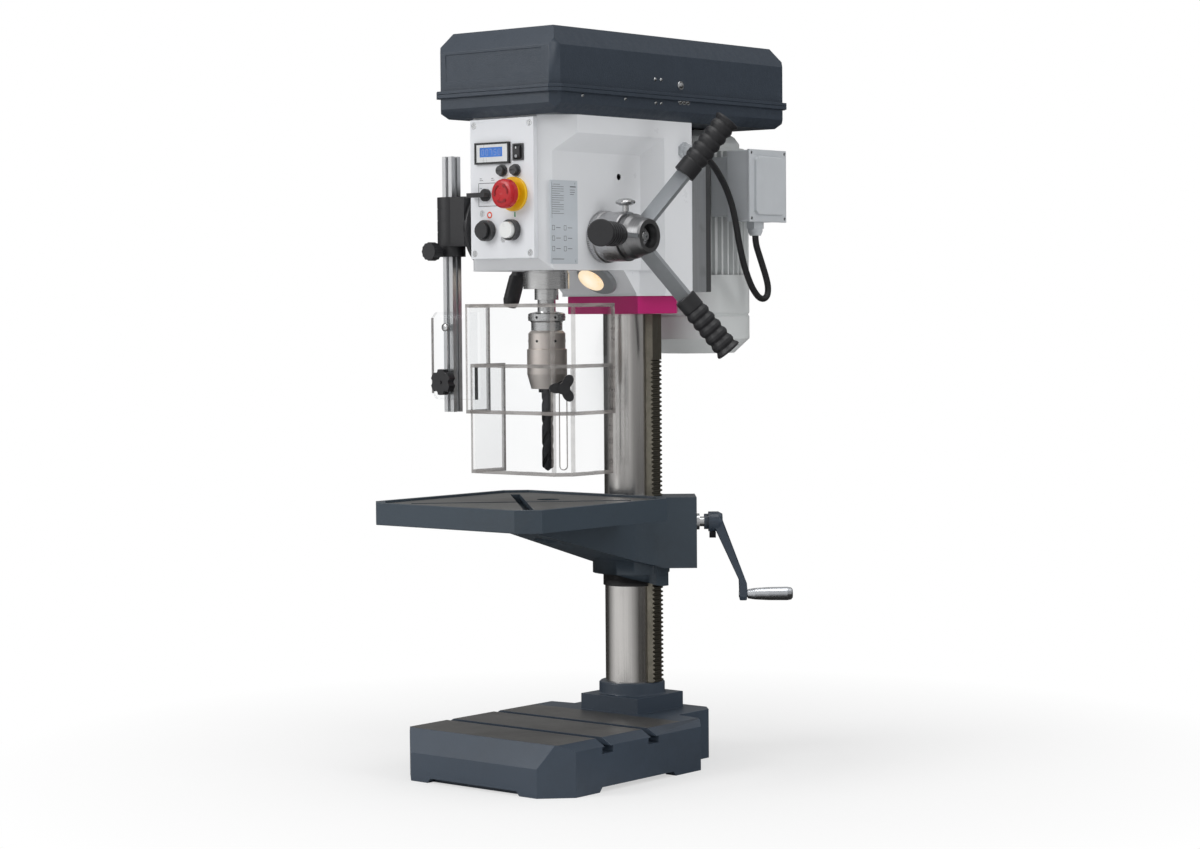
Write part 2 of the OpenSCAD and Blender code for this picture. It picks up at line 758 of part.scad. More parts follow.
// Selector with a bar handle
module selector_knob() {
  color(c_black) translate([-28, -head_front - panel_t, 797]) {
    translate([0, -4.3, 0]) rod_y(8.5, 4, 48);
    translate([-24, -14, -3]) cube([32, 10, 6]);
    translate([0, -1, 0]) rod_y(4.95, 22, 32);
  }
}

// Yellow disc and collar of the stop button
module stop_collar() {
  color("#e8c21a") translate([23, -head_front - panel_t, 797]) difference() {
    union() {
      translate([0, -5, 0]) rod_y(23, 5, 96);
      translate([0, -9.5, 0]) rod_y(14, 5, 64);
      translate([0, -1, 0]) rod_y(10.9, 30, 48);
    }
    translate([0, -20, 0]) rod_y(stop_stem_r + 0.06, 60, 48);
  }
}

// Red mushroom button
module emergency_stop_button() {
  color("#c4252c") translate([23, -head_front - panel_t, 797]) {
    rotate([90, 0, 0])
      turned([[0, 14], [19, 14], [19.8, 16], [19.8, 22], [19, 25], [17, 26.8], [14, 27.6], [0, 28]]);
    translate([0, -16, 0]) rod_y(stop_stem_r, 40, 48);
  }
}

// Round push button with its stem; the cap stands proud of the bezel
module push_button(x) {
  translate([x, -head_front - panel_t, 749]) {
    translate([0, -15, 0]) rod_y(11, 8.4, 64);
    translate([0, -7, 0]) rod_y(5.9, 22, 32);
  }
}

// Black button
module off_button() {
  color("#3a3c3e") push_button(-26);
}

// White button
module on_button() {
  color("#f0f1ee") push_button(19);
}

// Thin plate riveted to the recessed side
module data_plate() {
  color("#bcc6cf") translate([recess_x, -253.5, 703]) {
    cube([0.8, 56, 112]);
    for (y = [4, 52], z = [4, 108]) translate([0.5, y, z]) rod_x(2, 1.2, 24);
  }
}

// Place children on the lamp axis, Z pointing out along the beam
module on_lamp() {
  translate([lamp_x, lamp_y, lamp_z]) rotate([180 - slope_angle, 0, 0]) children();
}

// Spot lamp housing
module lamp_housing() {
  color(c_motor) on_lamp() difference() {
    union() {
      translate([-lamp_shift, 0, -24]) cylinder(r = lamp_r - 0.1, h = 26, $fn = 64);
      turned([[0, 0.05], [bezel_r, 0.05], [bezel_r, 2], [bezel_r - 3, 5], [0, 5]], 96);
    }
    translate([-lamp_shift, 0, -18]) cylinder(r = 16, h = 40, $fn = 64);
    translate([-lamp_shift, 0, 2]) cylinder(r = lens_r + 0.1, h = 20, $fn = 96);
  }
}

// Domed lens of the lamp
module lamp_lens() {
  color("#fff2d0") on_lamp() translate([-lamp_shift, 0, 0])
    turned([[0, 2.02], [lens_r, 2.02], [lens_r, 6], [14, 7.4], [8, 8], [0, 8.2]], 96);
}

// ---- Quill, spindle and chuck ----

// Quill sleeve with its collar and the rack teeth on its rear
module quill() {
  teeth_first = -2;
  teeth_last = 17;
  flat = gear_pitch_r + rack_addendum;
  color(c_steel) translate([0, -throat, 0]) difference() {
    union() {
      difference() {
        union() {
          translate([0, 0, collar_low]) cylinder(r = 31.6, h = 22, $fn = 96);
          translate([0, 0, collar_low + 20]) cylinder(r = quill_r, h = quill_top - collar_low - 20, $fn = 96);
        }
        translate([-11, 37 - gear_pitch_r - 2, feed_z + teeth_first * rack_pitch])
          cube([22, 40, (teeth_last + 3 - teeth_first) * rack_pitch]);
      }
      intersection() {
        cylinder(r = quill_r, h = quill_top, $fn = 96);
        translate([-11, 37 - gear_pitch_r, feed_z]) rotate([90, 0, 90]) linear_extrude(height = 22)
          rotate(90) mirror([0, 1]) polygon(rack_outline(teeth_first, teeth_last, -3));
      }
    }
    translate([0, 0, 600]) cylinder(r = 19, h = 400, $fn = 96);
  }
}

// Spindle bearings at both ends of the quill
module spindle_bearings() {
  color(c_steel) translate([0, -throat, 0]) for (z = [collar_low + 1, quill_top - 16])
    translate([0, 0, z]) difference() {
      cylinder(r = 18.98, h = 15, $fn = 96);
      translate([0, 0, -1]) cylinder(r = spindle_r + fit, h = 20, $fn = 64);
    }
}

// Spindle: nose, shaft and splined top
module spindle() {
  color(c_steel) translate([0, -throat, 0]) difference() {
    union() {
      translate([0, 0, nose_low]) cylinder(r = nose_r, h = collar_low - nose_low, $fn = 64);
      translate([0, 0, nose_low]) cylinder(r = spindle_r, h = quill_top - nose_low, $fn = 64);
      translate([0, 0, quill_top - 1]) cylinder(r = spindle_top_r, h = spindle_top - quill_top + 1, $fn = 64);
    }
    translate([0, 0, nose_low - 1]) cylinder(r = 8, h = 50, $fn = 48);
  }
}

// Chuck arbor and body
module chuck_body() {
  color(c_steel) translate([0, -throat, 0]) difference() {
    union() {
      translate([0, 0, nose_low - 1]) cylinder(r = 7.98, h = 40, $fn = 48);
      translate([0, 0, 637]) cylinder(r = 12.5, h = nose_low - 637, $fn = 64);
      turned([[0, 613], [21.5, 613], [21.5, 624], [23, 626], [chuck_ring_r, 626.5],
              [chuck_ring_r, 635.5], [23, 637], [12.5, 639], [0, 639]]);
      translate([0, 0, 566]) cylinder(r = 17.9, h = 48, $fn = 64);
    }
    translate([0, 0, 540]) cylinder(r = 12.3, h = 60, $fn = 64);
  }
}

// Keyless outer sleeve with its upper ring and cone
module chuck_sleeve() {
  color(c_dark_steel) translate([0, -throat, 0]) difference() {
    turned([[0, 612.6], [22, 612.6], [chuck_ring_r, 609], [chuck_ring_r, 588],
            [sleeve_r, 587], [sleeve_r, 553], [22, chuck_low], [0, chuck_low]]);
    translate([0, 0, 566 - gap]) cylinder(r = 17.95, h = 100, $fn = 64);
    translate([0, 0, 500]) cylinder(r = 12.3, h = 100, $fn = 64);
  }
}

// Three jaws that close on the drill
module chuck_jaws() {
  color(c_steel) translate([0, -throat, 0]) for (a = [0, 120, 240]) rotate([0, 0, a])
    intersection() {
      translate([drill_r - 0.3, -3.5, 528]) cube([10, 7, 40]);
      difference() {
        cylinder(r = 12, h = 700, $fn = 64);
        cylinder(r = drill_r + 0.01, h = 700, $fn = 64);
      }
    }
}

// Two-flute twist drill
module drill_bit() {
  color(c_black) translate([0, -throat, 0]) {
    translate([0, 0, 526]) cylinder(r = drill_r, h = 44, $fn = 64);
    intersection() {
      translate([0, 0, drill_low]) linear_extrude(height = 527 - drill_low, twist = -620, slices = 56)
        difference() {
          circle(r = drill_r, $fn = 28);
          for (s = [0, 180]) rotate(s) translate([drill_r * 0.82, drill_r * 0.34])
            circle(r = drill_r * 0.56, $fn = 14);
        }
      turned([[0, drill_low], [drill_r + 1, drill_low + 5.4], [drill_r + 1, 540], [0, 540]], 48);
    }
  }
}

// ---- Quill feed ----

// Feed shaft with the pinion that drives the quill and the spring drum
module feed_pinion_shaft() {
  color(c_steel) translate([0, feed_y, feed_z]) {
    translate([-92, 0, 0]) rod_x(feed_r, hub_end - hub_recess - 0.4 + 92, 64);
    translate([-11, 0, 0]) rotate([0, 90, 0]) rotate(90) mirror([0, 1]) rotate(180) pinion(22);
    translate([-92, 0, 0]) rod_x(20, 20, 64);
  }
}

// Cast hub that holds the three arms
module feed_hub() {
  color(c_dark_steel) translate([0, feed_y, feed_z]) difference() {
    translate([ring_end + gap, 0, 0]) rotate([0, 90, 0])
      turned([[0, 0], [28.5, 0], [30.5, 2], [30.5, 10], [27.5, 16], [24, hub_end - ring_end - 4],
              [22.5, hub_end - ring_end - gap], [0, hub_end - ring_end - gap]]);
    translate([ring_end - 1, 0, 0]) rod_x(feed_r + fit / 2, hub_end - hub_recess - ring_end + 1, 64);
    translate([hub_end - hub_recess, 0, 0]) rod_x(16.5, 30, 64);
    difference() {
      for (a = arm_angles) rotate([a, 0, 0]) translate([arm_root_x, 0, 0])
        rotate([0, 0, -arm_flare]) translate([-arm_half_w - 0.1, 4, -arm_half_t - 0.1])
          cube([2 * arm_half_w + 0.2, 50, 2 * arm_half_t + 0.2]);
      translate([ring_end - 9, 0, 0]) rod_x(arm_inner_r, 60, 64);
    }
  }
}

// Place children at one arm; Y runs out along the arm
module on_arm(a) {
  translate([arm_root_x, feed_y, feed_z]) rotate([a, 0, 0]) rotate([0, 0, -arm_flare]) children();
}

// Three flat arms
module feed_arms() {
  color(c_steel) difference() {
    for (a = arm_angles) on_arm(a) translate([-arm_half_w, 4, -arm_half_t])
      cube([2 * arm_half_w, arm_len - grip_len + 1.8, 2 * arm_half_t]);
    translate([ring_end - 9, feed_y, feed_z]) rod_x(arm_inner_r + 0.1, 60, 64);
  }
}

// Three ribbed grips
module feed_grips() {
  color(c_black) for (a = arm_angles) on_arm(a)
    translate([0, arm_len - grip_len, 0]) rotate([-90, 0, 0]) difference() {
      turned(concat(
        [[0, 0], [14.6, 0], [15.3, 1], [15.3, 20]],
        [for (k = [0:4]) each [[14.2, 22 + k * 13], [grip_r, 27 + k * 13], [grip_r, 31 + k * 13]]],
        [[14.6, 87], [grip_r + 1.3, 92], [grip_r + 1.3, 94], [grip_r, grip_len], [0, grip_len]]
      ), 48);
      translate([-arm_half_w - 0.05, -arm_half_t - 0.05, -1])
        cube([2 * arm_half_w + 0.1, 2 * arm_half_t + 0.1, 8]);
    }
}

// Depth scale ring around the feed shaft
module depth_ring() {
  color(c_motor) translate([ring_start, feed_y, feed_z]) difference() {
    rotate([0, 90, 0])
      turned([[0, 0], [35.5, 0], [35.5, 9], [33.8, 10.5], [33.8, ring_end - ring_start - 1.5],
              [32.3, ring_end - ring_start], [0, ring_end - ring_start]]);
    translate([-1, 0, 0]) rod_x(feed_r + fit, 60, 64);
    translate([ring_knob_x - ring_start, 0, 20]) cylinder(r = 3, h = 30, $fn = 32);
  }
}

// Knurled thumb screw that locks the depth ring
module depth_ring_knob() {
  color(c_steel) translate([ring_knob_x, feed_y, feed_z]) {
    translate([0, 0, 24]) cylinder(r = 2.97, h = 20, $fn = 32);
    translate([0, 0, 34.2]) cylinder(r = 4.5, h = 8, $fn = 32);
    translate([0, 0, 42]) turned([[0, 0], [8, 0], [13, 2.5], [14, 4.5], [13, 6.5], [8, 9], [0, 10]], 64);
  }
}

// Variable speed lever on the left side with its moulded grip
module speed_lever() {
  color(c_black) translate([-head_half_w, -95, 745]) {
    translate([-18, 0, 0]) rod_x(15, 17.4, 64);
    translate([-6, 0, 0]) rod_x(8, 28, 48);
    translate([-17.9, 0, 0]) rotate([-22, 0, 0]) {
      translate([0, -8, -62]) cube([10, 16, 62]);
      translate([5, 0, -58]) rotate([180, 0, 0])
        turned([[0, 0], [9, 0], [11.5, 6], [11.5, 40], [9, 48], [0, 49]], 48);
    }
  }
}

// ---- Belt drive ----

// Grooved pulley: hub below, sheave centred on the belt
module sheave(r, hub_r, hub_low) {
  translate([0, 0, hub_low]) cylinder(r = hub_r, h = belt_z - hub_low, $fn = 64);
  turned([[0, belt_z - 14], [r + 3, belt_z - 14], [r + 5, belt_z - 12], [r + 5, belt_z - 9],
          [r - 6, belt_z - 5], [r - 6, belt_z + 5], [r + 5, belt_z + 9], [r + 5, belt_z + 12],
          [r + 3, belt_z + 14], [0, belt_z + 14]], 96);
}

// Pulley that turns the splined spindle top
module spindle_pulley() {
  color(c_dark_steel) translate([0, -throat, 0]) difference() {
    sheave(spindle_sheave_r, pulley_hub_r, pulley_low);
    translate([0, 0, 800]) cylinder(r = spindle_top_r + fit, h = 300, $fn = 64);
  }
}

// Motor shaft with pulley and cooling fan
module motor_rotor() {
  color(c_dark_steel) translate([0, motor_y, 0]) {
    sheave(motor_sheave_r, 16, head_top + 14);
    translate([0, 0, 600]) cylinder(r = 9, h = belt_z + 16 - 600, $fn = 64);
    translate([0, 0, 605]) cylinder(r = 18, h = 30, $fn = 64);
    for (a = [0:60:300]) rotate([0, 0, a]) translate([10, -1.5, 605]) cube([50, 3, 30]);
  }
}

// V-belt around both pulleys
module drive_belt() {
  reach = throat + motor_y;
  color(c_black) translate([0, -throat, belt_z - belt_half_h])
    linear_extrude(height = 2 * belt_half_h) difference() {
      belt_shape(spindle_sheave_r + belt_half_t, motor_sheave_r + belt_half_t, reach);
      belt_shape(spindle_sheave_r - belt_half_t, motor_sheave_r - belt_half_t, reach);
    }
}

// ---- Motor ----

// U-shaped bracket between the head and the motor
module motor_bracket() {
  color(c_motor) difference() {
    union() {
      translate([-94, 58, 664.5]) cube([188, 12, 187]);
      for (x = [-94, 84]) translate([x, head_rear, 664.5]) cube([10, 34, 187]);
    }
    for (x = [-70, 70], z = [700, 816]) translate([x, 57, z]) rod_y(5, 20, 32);
  }
}

// Finned motor body with its mounting pad and upper end bell
module motor_body() {
  color(c_motor) translate([0, motor_y, 0]) difference() {
    union() {
      translate([0, 0, fan_top]) linear_extrude(height = motor_top - fan_top)
        polygon([for (k = [0:95]) let (r = k % 2 == 0 ? motor_r : motor_r - 7, a = k * 3.75)
          each [[r * cos(a - 1), r * sin(a - 1)], [r * cos(a + 1), r * sin(a + 1)]]]);
      translate([-56, 70 - motor_y, 705]) cube([112, 34, 140]);
      turned([[0, motor_top - 1], [72, motor_top - 1], [72, motor_top + 5], [65, motor_top + 6],
              [65, motor_top + 12], [58, motor_top + 22], [40, head_top - 2], [0, head_top - 2]]);
    }
    translate([0, 0, 600]) cylinder(r = 9 + fit, h = 400, $fn = 64);
    translate([0, 0, fan_top - 1]) cylinder(r = 60, h = 8, $fn = 64);
  }
}

// Cowl over the fan, with a rolled groove and a grille of ring slots
module motor_fan_cover() {
  color(c_motor) translate([0, motor_y, 0]) difference() {
    turned([[0, motor_low], [motor_r - 22, motor_low], [motor_r + 0.5, motor_low + 21],
            [motor_r + 0.5, 629], [motor_r - 1.5, 632], [motor_r + 0.5, 635],
            [motor_r + 0.5, fan_top - 0.4], [0, fan_top - 0.4]]);
    turned([[0, motor_low + 3], [motor_r - 24, motor_low + 3], [motor_r - 3, motor_low + 24],
            [motor_r - 3, fan_top + 5], [0, fan_top + 5]]);
    for (r = [20, 34, 48]) translate([0, 0, motor_low - 5]) difference() {
      cylinder(r = r + 4, h = 20, $fn = 64);
      translate([0, 0, -1]) cylinder(r = r, h = 30, $fn = 64);
      for (a = [0, 45, 90, 135]) rotate([0, 0, a]) translate([-80, -3, -2]) cube([160, 6, 40]);
    }
  }
}

// Box for the motor terminals
module terminal_box() {
  color(c_motor) difference() {
    union() {
      translate([box_left, box_front, box_low]) cube([box_x - box_left, box_w, box_h]);
      translate([60, box_front + 6, box_low + 8]) cube([box_left - 59, box_w - 12, box_h - 16]);
    }
    translate([0, motor_y, 700]) cylinder(r = motor_r + 0.3, h = 300, $fn = 128);
    translate([box_left + 4, box_front + 4, box_low + 4])
      cube([box_x - box_left - 3, box_w - 8, box_h - 8]);
    translate([box_gland[0], box_gland[1], box_low - 10]) cylinder(r = 6, h = 20, $fn = 48);
  }
}

// Screwed lid with a raised, bevelled middle
module terminal_box_lid() {
  y0 = box_front - 1;
  z0 = box_low - 1;
  y1 = box_front + box_w + 1;
  z1 = box_low + box_h + 1;
  color(c_motor) translate([box_x, 0, 0]) difference() {
    union() {
      translate([0.02, y0, z0]) cube([5, y1 - y0, z1 - z0]);
      intersection() {
        translate([4, y0 + 10, z0 + 10]) cube([6, y1 - y0 - 20, z1 - z0 - 20]);
        rotate([90, 0, 90]) linear_extrude(height = 12)
          polygon(cut_rect(y0 + 10, z0 + 10, y1 - 10, z1 - 10, 6));
      }
    }
    for (y = [y0 + 5, y1 - 5], z = [z0 + 5, z1 - 5]) translate([2.4, y, z]) rod_x(2.6, 4, 24);
  }
}

// Two cable glands: under the terminal box and on the side of the head
module cable_glands() {
  color(c_motor) translate([box_gland[0], box_gland[1], box_low]) difference() {
    union() {
      translate([0, 0, -20]) turned([[0, 0], [8, 0], [10.5, 6], [10.5, 10], [0, 10]], 48);
      translate([0, 0, -10]) hex(23, 9.9);
      translate([0, 0, -1]) cylinder(r = 5.95, h = 8, $fn = 48);
    }
    translate([0, 0, -25]) cylinder(r = cable_r + 0.1, h = 60, $fn = 32);
  }
  color(c_black) translate([head_half_w, gland_y, gland_z]) difference() {
    union() {
      translate([0.02, 0, 0]) rotate([0, 90, 0]) hex(21, 6);
      translate([6, 0, 0]) rotate([0, 90, 0]) turned([[0, 0], [9.5, 0], [8.8, 5], [7.5, 8], [0, 8]], 48);
      translate([-8, 0, 0]) rod_x(5.95, 9, 48);
    }
    translate([-20, 0, 0]) rod_x(cable_r + 0.1, 60, 32);
  }
}

// Route of the motor lead, from the terminal box to the head
cable_route = [
  [118, 143, 768], [118, 143, 752], [118, 143, 741], [118, 145.5, 730], [119, 151, 717],
  [120, 158, 701], [120.5, 165, 686], [121, 169.5, 672], [121, 168.5, 660], [120.5, 161, 654],
  [120, 151, 655], [119.5, 142, 661], [119, 132, 672], [119, 123, 686], [119, 115, 701],
  [120, 107, 718], [120.5, 100, 737], [121, 94, 757], [121, 88, 777], [121, 80, 795],
  [122, 68, 812], [123, 55, 826], [125, 40, 838], [127, 25, 847.5], [125, 13, 854.5],
  [119, 7, 859.5], [111, 5, 862], [100, 5, 862], [84, 5, 862]
];
cable_r = 4.6;
cable_sides = 12;

// Unit vector
function unit(v) = v / norm(v);

// Direction of the route at point i
function route_dir(p, i) = unit(p[min(i + 1, len(p) - 1)] - p[max(i - 1, 0)]);

// Frames carried along the route without twist: one sideways vector for each point
function route_sides(p, i = 0, s = [1, 0, 0], out = []) = i == len(p)
  ? out
  : let (d = route_dir(p, i), n = unit(s - (s * d) * d)) route_sides(p, i + 1, n, concat(out, [n]));

// Motor lead: one tube swept along its route
module motor_cable() {
  p = cable_route;
  n = route_sides(p);
  m = cable_sides;
  points = [for (i = [0:len(p) - 1], k = [0:m - 1])
    p[i] + cable_r * (cos(k * 360 / m) * n[i] + sin(k * 360 / m) * cross(route_dir(p, i), n[i]))];
  faces = concat(
    [[for (k = [0:m - 1]) k]],
    [for (i = [0:len(p) - 2], k = [0:m - 1])
      [i * m + k, (i + 1) * m + k, (i + 1) * m + (k + 1) % m, i * m + (k + 1) % m]],
    [[for (k = [m - 1:-1:0]) (len(p) - 1) * m + k]]
  );
  color(c_black) polyhedron(points, faces);
}

// ---- Belt cover ----

// Outer envelope of the cover between two heights, shrunk by t
module cover_shell(z0, z1, t) {
  intersection() {
    translate([0, 0, z0]) linear_extrude(height = z1 - z0)
      polygon(cut_rect(-cover_half_w + t, cover_front + t, cover_half_w - t, cover_back - t, 11));
    along_y(cover_front, cover_back)
      polygon([
        [-cover_half_w + 13 + t, head_top + t], [cover_half_w - 13 - t, head_top + t],
        [cover_half_w - t, head_top + 13 + t / 2], [cover_half_w - t, cover_top - 27 - t / 2],
        [cover_half_w - 18 - t, cover_top - t], [-cover_half_w + 18 + t, cover_top - t],
        [-cover_half_w + t, cover_top - 27 - t / 2], [-cover_half_w + t, head_top + 13 + t / 2]
      ]);
    along_x(2 * cover_half_w)
      polygon([
        [cover_front + 13 + t, head_top + t], [cover_back - 13 - t, head_top + t],
        [cover_back - t, head_top + 13 + t / 2], [cover_back - t, cover_top - 27 - t / 2],
        [cover_back - 18 - t, cover_top - t], [cover_front + 18 + t, cover_top - t],
        [cover_front + t, cover_top - 27 - t / 2], [cover_front + t, head_top + 13 + t / 2]
      ]);
  }
}

// Flange that runs round the parting line
module cover_lip(z0, h) {
  translate([0, 0, z0]) linear_extrude(height = h)
    polygon(cut_rect(-cover_half_w - lip, cover_front - lip, cover_half_w + lip, cover_back + lip, 13));
}

// Lower tray of the cover, open for the pulleys
module cover_tray() {
  color(c_grey) difference() {
    union() {
      cover_shell(head_top + 0.02, seam, 0);
      cover_lip(seam - 5, 4.8);
      for (y = knuckle_y) translate([hinge_x, y + 12.3, seam]) rod_y(5, 25.4, 48);
      for (y = knuckle_y) translate([hinge_x, y + 12.3, seam - 5]) cube([10, 25.4, 4.8]);
    }
    cover_shell(head_top + wall, seam + 20, wall);
    translate([0, -throat, 880]) cylinder(r = 30, h = 40, $fn = 96);
    translate([0, motor_y, 880]) cylinder(r = 24, h = 40, $fn = 96);
    for (y = knuckle_y) translate([hinge_x, y - 1, seam]) rod_y(2.5 + fit, 60, 32);
  }
}

// Hinged lid with its hinge pins and recessed front field
module cover_lid() {
  color(c_grey) difference() {
    union() {
      difference() {
        union() {
          cover_shell(seam + 0.2, cover_top, 0);
          cover_lip(seam + 0.2, 4.2);
        }
        cover_shell(seam - 20, cover_top, wall);
      }
      for (y = knuckle_y) {
        for (s = [0, 38]) translate([hinge_x, y + s, seam]) rod_y(5, 12, 48);
        for (s = [0, 38]) translate([hinge_x, y + s, seam + 0.2]) cube([10, 12, 4.2]);
        translate([hinge_x, y, seam]) rod_y(2.5, 50, 32);
      }
    }
    translate([-88, cover_front - 1, 952]) cube([172, 2, 36]);
  }
}

// ---- Chuck guard ----

// Mount on the left side of the head with the barrel for the bar
module guard_mount() {
  color(c_black) difference() {
    union() {
      translate([-head_half_w - 5.5, -180, 754]) rod_x(58, 5.4, 128);
      translate([bar_x, bar_y - 16, mount_low]) cube([-head_half_w - 5 - bar_x, 36, mount_top - mount_low]);
      translate([bar_x, bar_y, mount_low]) cylinder(r = 20, h = mount_top - mount_low, $fn = 96);
    }
    translate([bar_x, bar_y, 700]) cylinder(r = 15 + fit, h = 200, $fn = 96);
    for (z = [750, 765.6, 782]) translate([bar_x, bar_y, z]) difference() {
      cylinder(r = 30, h = 1, $fn = 96);
      translate([0, 0, -1]) cylinder(r = 19.3, h = 4, $fn = 96);
      translate([8, -40, -1]) cube([40, 80, 4]);
    }
  }
}

// Turning collar that the bar slides through
module guard_collar() {
  color(c_black) translate([bar_x, bar_y, 0]) difference() {
    union() {
      translate([0, 0, collar_ring_low]) cylinder(r = 15, h = mount_top - collar_ring_low, $fn = 96);
      translate([0, 0, collar_ring_low]) cylinder(r = 19, h = mount_low - 0.3 - collar_ring_low, $fn = 96);
    }
    translate([0, 0, 700]) block(bar_w + 0.1, bar_w + 0.1, 200);
    translate([0, -30, collar_ring_low + 7]) rod_y(3, 30, 32);
  }
}

// Knob that locks the height of the bar
module guard_height_knob() {
  color(c_black) translate([bar_x, bar_y, collar_ring_low + 7]) {
    translate([0, -38, 0]) rod_y(2.97, 28.6, 32);
    translate([0, -48, 0]) rotate([-90, 0, 0]) linear_extrude(height = 14)
      polygon([for (k = [0:23]) let (r = k % 2 == 0 ? 12.8 : 11.8) [r * cos(k * 15), r * sin(k * 15)]]);
    translate([0, -34.1, 0]) rod_y(8, 8, 48);
  }
}

// Slotted square bar
module guard_bar() {
  color(c_steel) translate([bar_x, bar_y, bar_low]) linear_extrude(height = bar_top - bar_low)
    difference() {
      square(bar_w, center = true);
      for (a = [0, 90, 180, 270]) rotate(a) {
        translate([bar_w / 2 - 2, -2.5]) square([4, 5]);
        translate([bar_w / 2 - 4.5, -4]) square([2.6, 8]);
      }
      circle(r = 2.2, $fn = 24);
    }
}

// Star knob that holds the sheet to the bar
module guard_bar_knob() {
  color(c_black) translate([bar_x, bar_y - bar_w / 2, 542]) {
    translate([0, -20, 0]) rod_y(2.4, 19.8, 24);
    translate([0, -18, 0]) rotate([-90, 0, 0]) linear_extrude(height = 12) difference() {
      circle(r = 18, $fn = 64);
      for (k = [0:5]) rotate(k * 60) translate([19, 0]) circle(r = 4.5, $fn = 24);
    }
  }
}

// Plan outline of a guard sheet: left flange, front, cut corner, right side
module guard_plan(inset, left_back, right_back) {
  l = -guard_half_w + inset;
  r = guard_right - inset;
  f = guard_front + inset;
  k = guard_chamfer - inset * 0.41;
  t = sheet_t;
  polygon([
    [l, left_back], [l, f], [r - k, f], [r, f + k], [r, right_back], [r - t, right_back],
    [r - t, f + k + t * 0.41], [r - k - t * 0.41, f + t], [l + t, f + t], [l + t, left_back]
  ]);
}

// Upper clear sheet with the plate that carries it on the bar
module guard_upper_sheet() {
  plate_y = bar_y - bar_w / 2 - 5.2;
  color(c_clear) difference() {
    union() {
      translate([0, 0, upper_low]) linear_extrude(height = upper_top - upper_low)
        guard_plan(0, -214, -153);
      translate([0, plate_y + 5, 0]) rotate([90, 0, 0]) linear_extrude(height = 5)
        polygon([[bar_x - 28, 526], [bar_x - 20, 518], [-guard_half_w + 1, 518],
                 [-guard_half_w + 1, 639], [bar_x - 20, 639], [bar_x - 28, 631]]);
      translate([bar_x, plate_y, 618]) rotate([90, 0, 0]) cylinder(r = 5.5, h = 3, $fn = 32);
    }
    translate([bar_x, plate_y - 10, 542]) rod_y(2.5, 30, 24);
    on_slot() translate([0, 0, -20]) cylinder(r = 3, h = 60, $fn = 32);
  }
}

// Place children on the cut corner, Z pointing out towards the operator
module on_slot() {
  m = guard_right - guard_chamfer / 2;
  translate([m, guard_front + guard_chamfer / 2, 537]) rotate([0, 0, -45]) rotate([0, 90, 0])
    rotate([0, 0, 90]) children();
}

// Lower clear sheet that slides inside the upper one
module guard_lower_sheet() {
  color(c_clear) difference() {
    translate([0, 0, lower_low]) linear_extrude(height = 150)
      guard_plan(sheet_t + sheet_gap, -188, -153);
    on_slot() translate([0, 0, -20]) {
      cylinder(r = 4.5, h = 60, $fn = 32);
      slot_cut(105);
    }
  }
}

// Long slot reaching down from the knob axis
module slot_cut(length) {
  translate([-4.5, -length, 0]) cube([9, length, 60]);
  translate([0, -length, 0]) cylinder(r = 4.5, h = 60, $fn = 32);
}

// Three-lobed knob of the sliding sheet
module guard_wing_knob() {
  color(c_black) on_slot() {
    translate([0, 0, -12]) cylinder(r = 2.97, h = 24, $fn = 32);
    translate([0, 0, -14]) cylinder(r = 9, h = 3, $fn = 32);
    translate([0, 0, 3.5]) cylinder(r = 8, h = 14, $fn = 48);
    translate([0, 0, 6]) linear_extrude(height = 9)
      polygon([for (k = [0:47]) let (q = 13.5 - 6.5 * cos(k * 22.5)) [q * cos(k * 7.5), q * sin(k * 7.5)]]);
  }
}

base_casting();
column_tube();
clamp_screws();
column_rack();
table_casting();
table_clamp_lever();
lift_pinion_shaft();
crank_shaft();
crank_arm();
crank_arm_screw();
crank_handle();
head_casting();
column_clamp_block();
front_panel();
panel_screws();
speed_counter();
rocker_switch();
switch_bezels();
selector_knob();
stop_collar();
emergency_stop_button();
off_button();
on_button();
data_plate();
lamp_housing();
lamp_lens();
quill();
spindle_bearings();
spindle();
chuck_body();
chuck_sleeve();
chuck_jaws();
drill_bit();
feed_pinion_shaft();
feed_hub();
feed_arms();
feed_grips();
depth_ring();
depth_ring_knob();
speed_lever();
spindle_pulley();
motor_rotor();
drive_belt();
motor_bracket();
motor_body();
motor_fan_cover();
terminal_box();
terminal_box_lid();
cable_glands();
motor_cable();
cover_tray();
cover_lid();
guard_mount();
guard_collar();
guard_height_knob();
guard_bar();
guard_bar_knob();
guard_upper_sheet();
guard_lower_sheet();
guard_wing_knob();
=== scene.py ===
import bpy
import bmesh
import json
import math
from mathutils import Vector, Matrix


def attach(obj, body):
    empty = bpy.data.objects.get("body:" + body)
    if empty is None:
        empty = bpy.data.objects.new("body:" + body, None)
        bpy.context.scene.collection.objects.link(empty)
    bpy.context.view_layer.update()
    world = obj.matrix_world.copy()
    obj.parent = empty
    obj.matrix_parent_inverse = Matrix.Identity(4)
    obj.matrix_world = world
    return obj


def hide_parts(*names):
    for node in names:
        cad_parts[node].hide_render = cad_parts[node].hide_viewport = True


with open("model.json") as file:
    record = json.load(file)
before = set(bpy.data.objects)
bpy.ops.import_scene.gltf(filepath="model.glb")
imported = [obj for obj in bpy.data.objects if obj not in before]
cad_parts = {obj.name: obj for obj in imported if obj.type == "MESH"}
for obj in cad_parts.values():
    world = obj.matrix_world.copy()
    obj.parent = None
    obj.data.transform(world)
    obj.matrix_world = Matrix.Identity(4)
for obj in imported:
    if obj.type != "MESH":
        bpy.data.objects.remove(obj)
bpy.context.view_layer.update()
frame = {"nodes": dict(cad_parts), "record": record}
NODES = frame["nodes"]
BODY = {n: b for b, ns in frame["record"]["behaviour"]["bodies"].items() for n in ns}
SCENE = bpy.context.scene
MM = 0.001
UP = Vector((0, 0, 1))
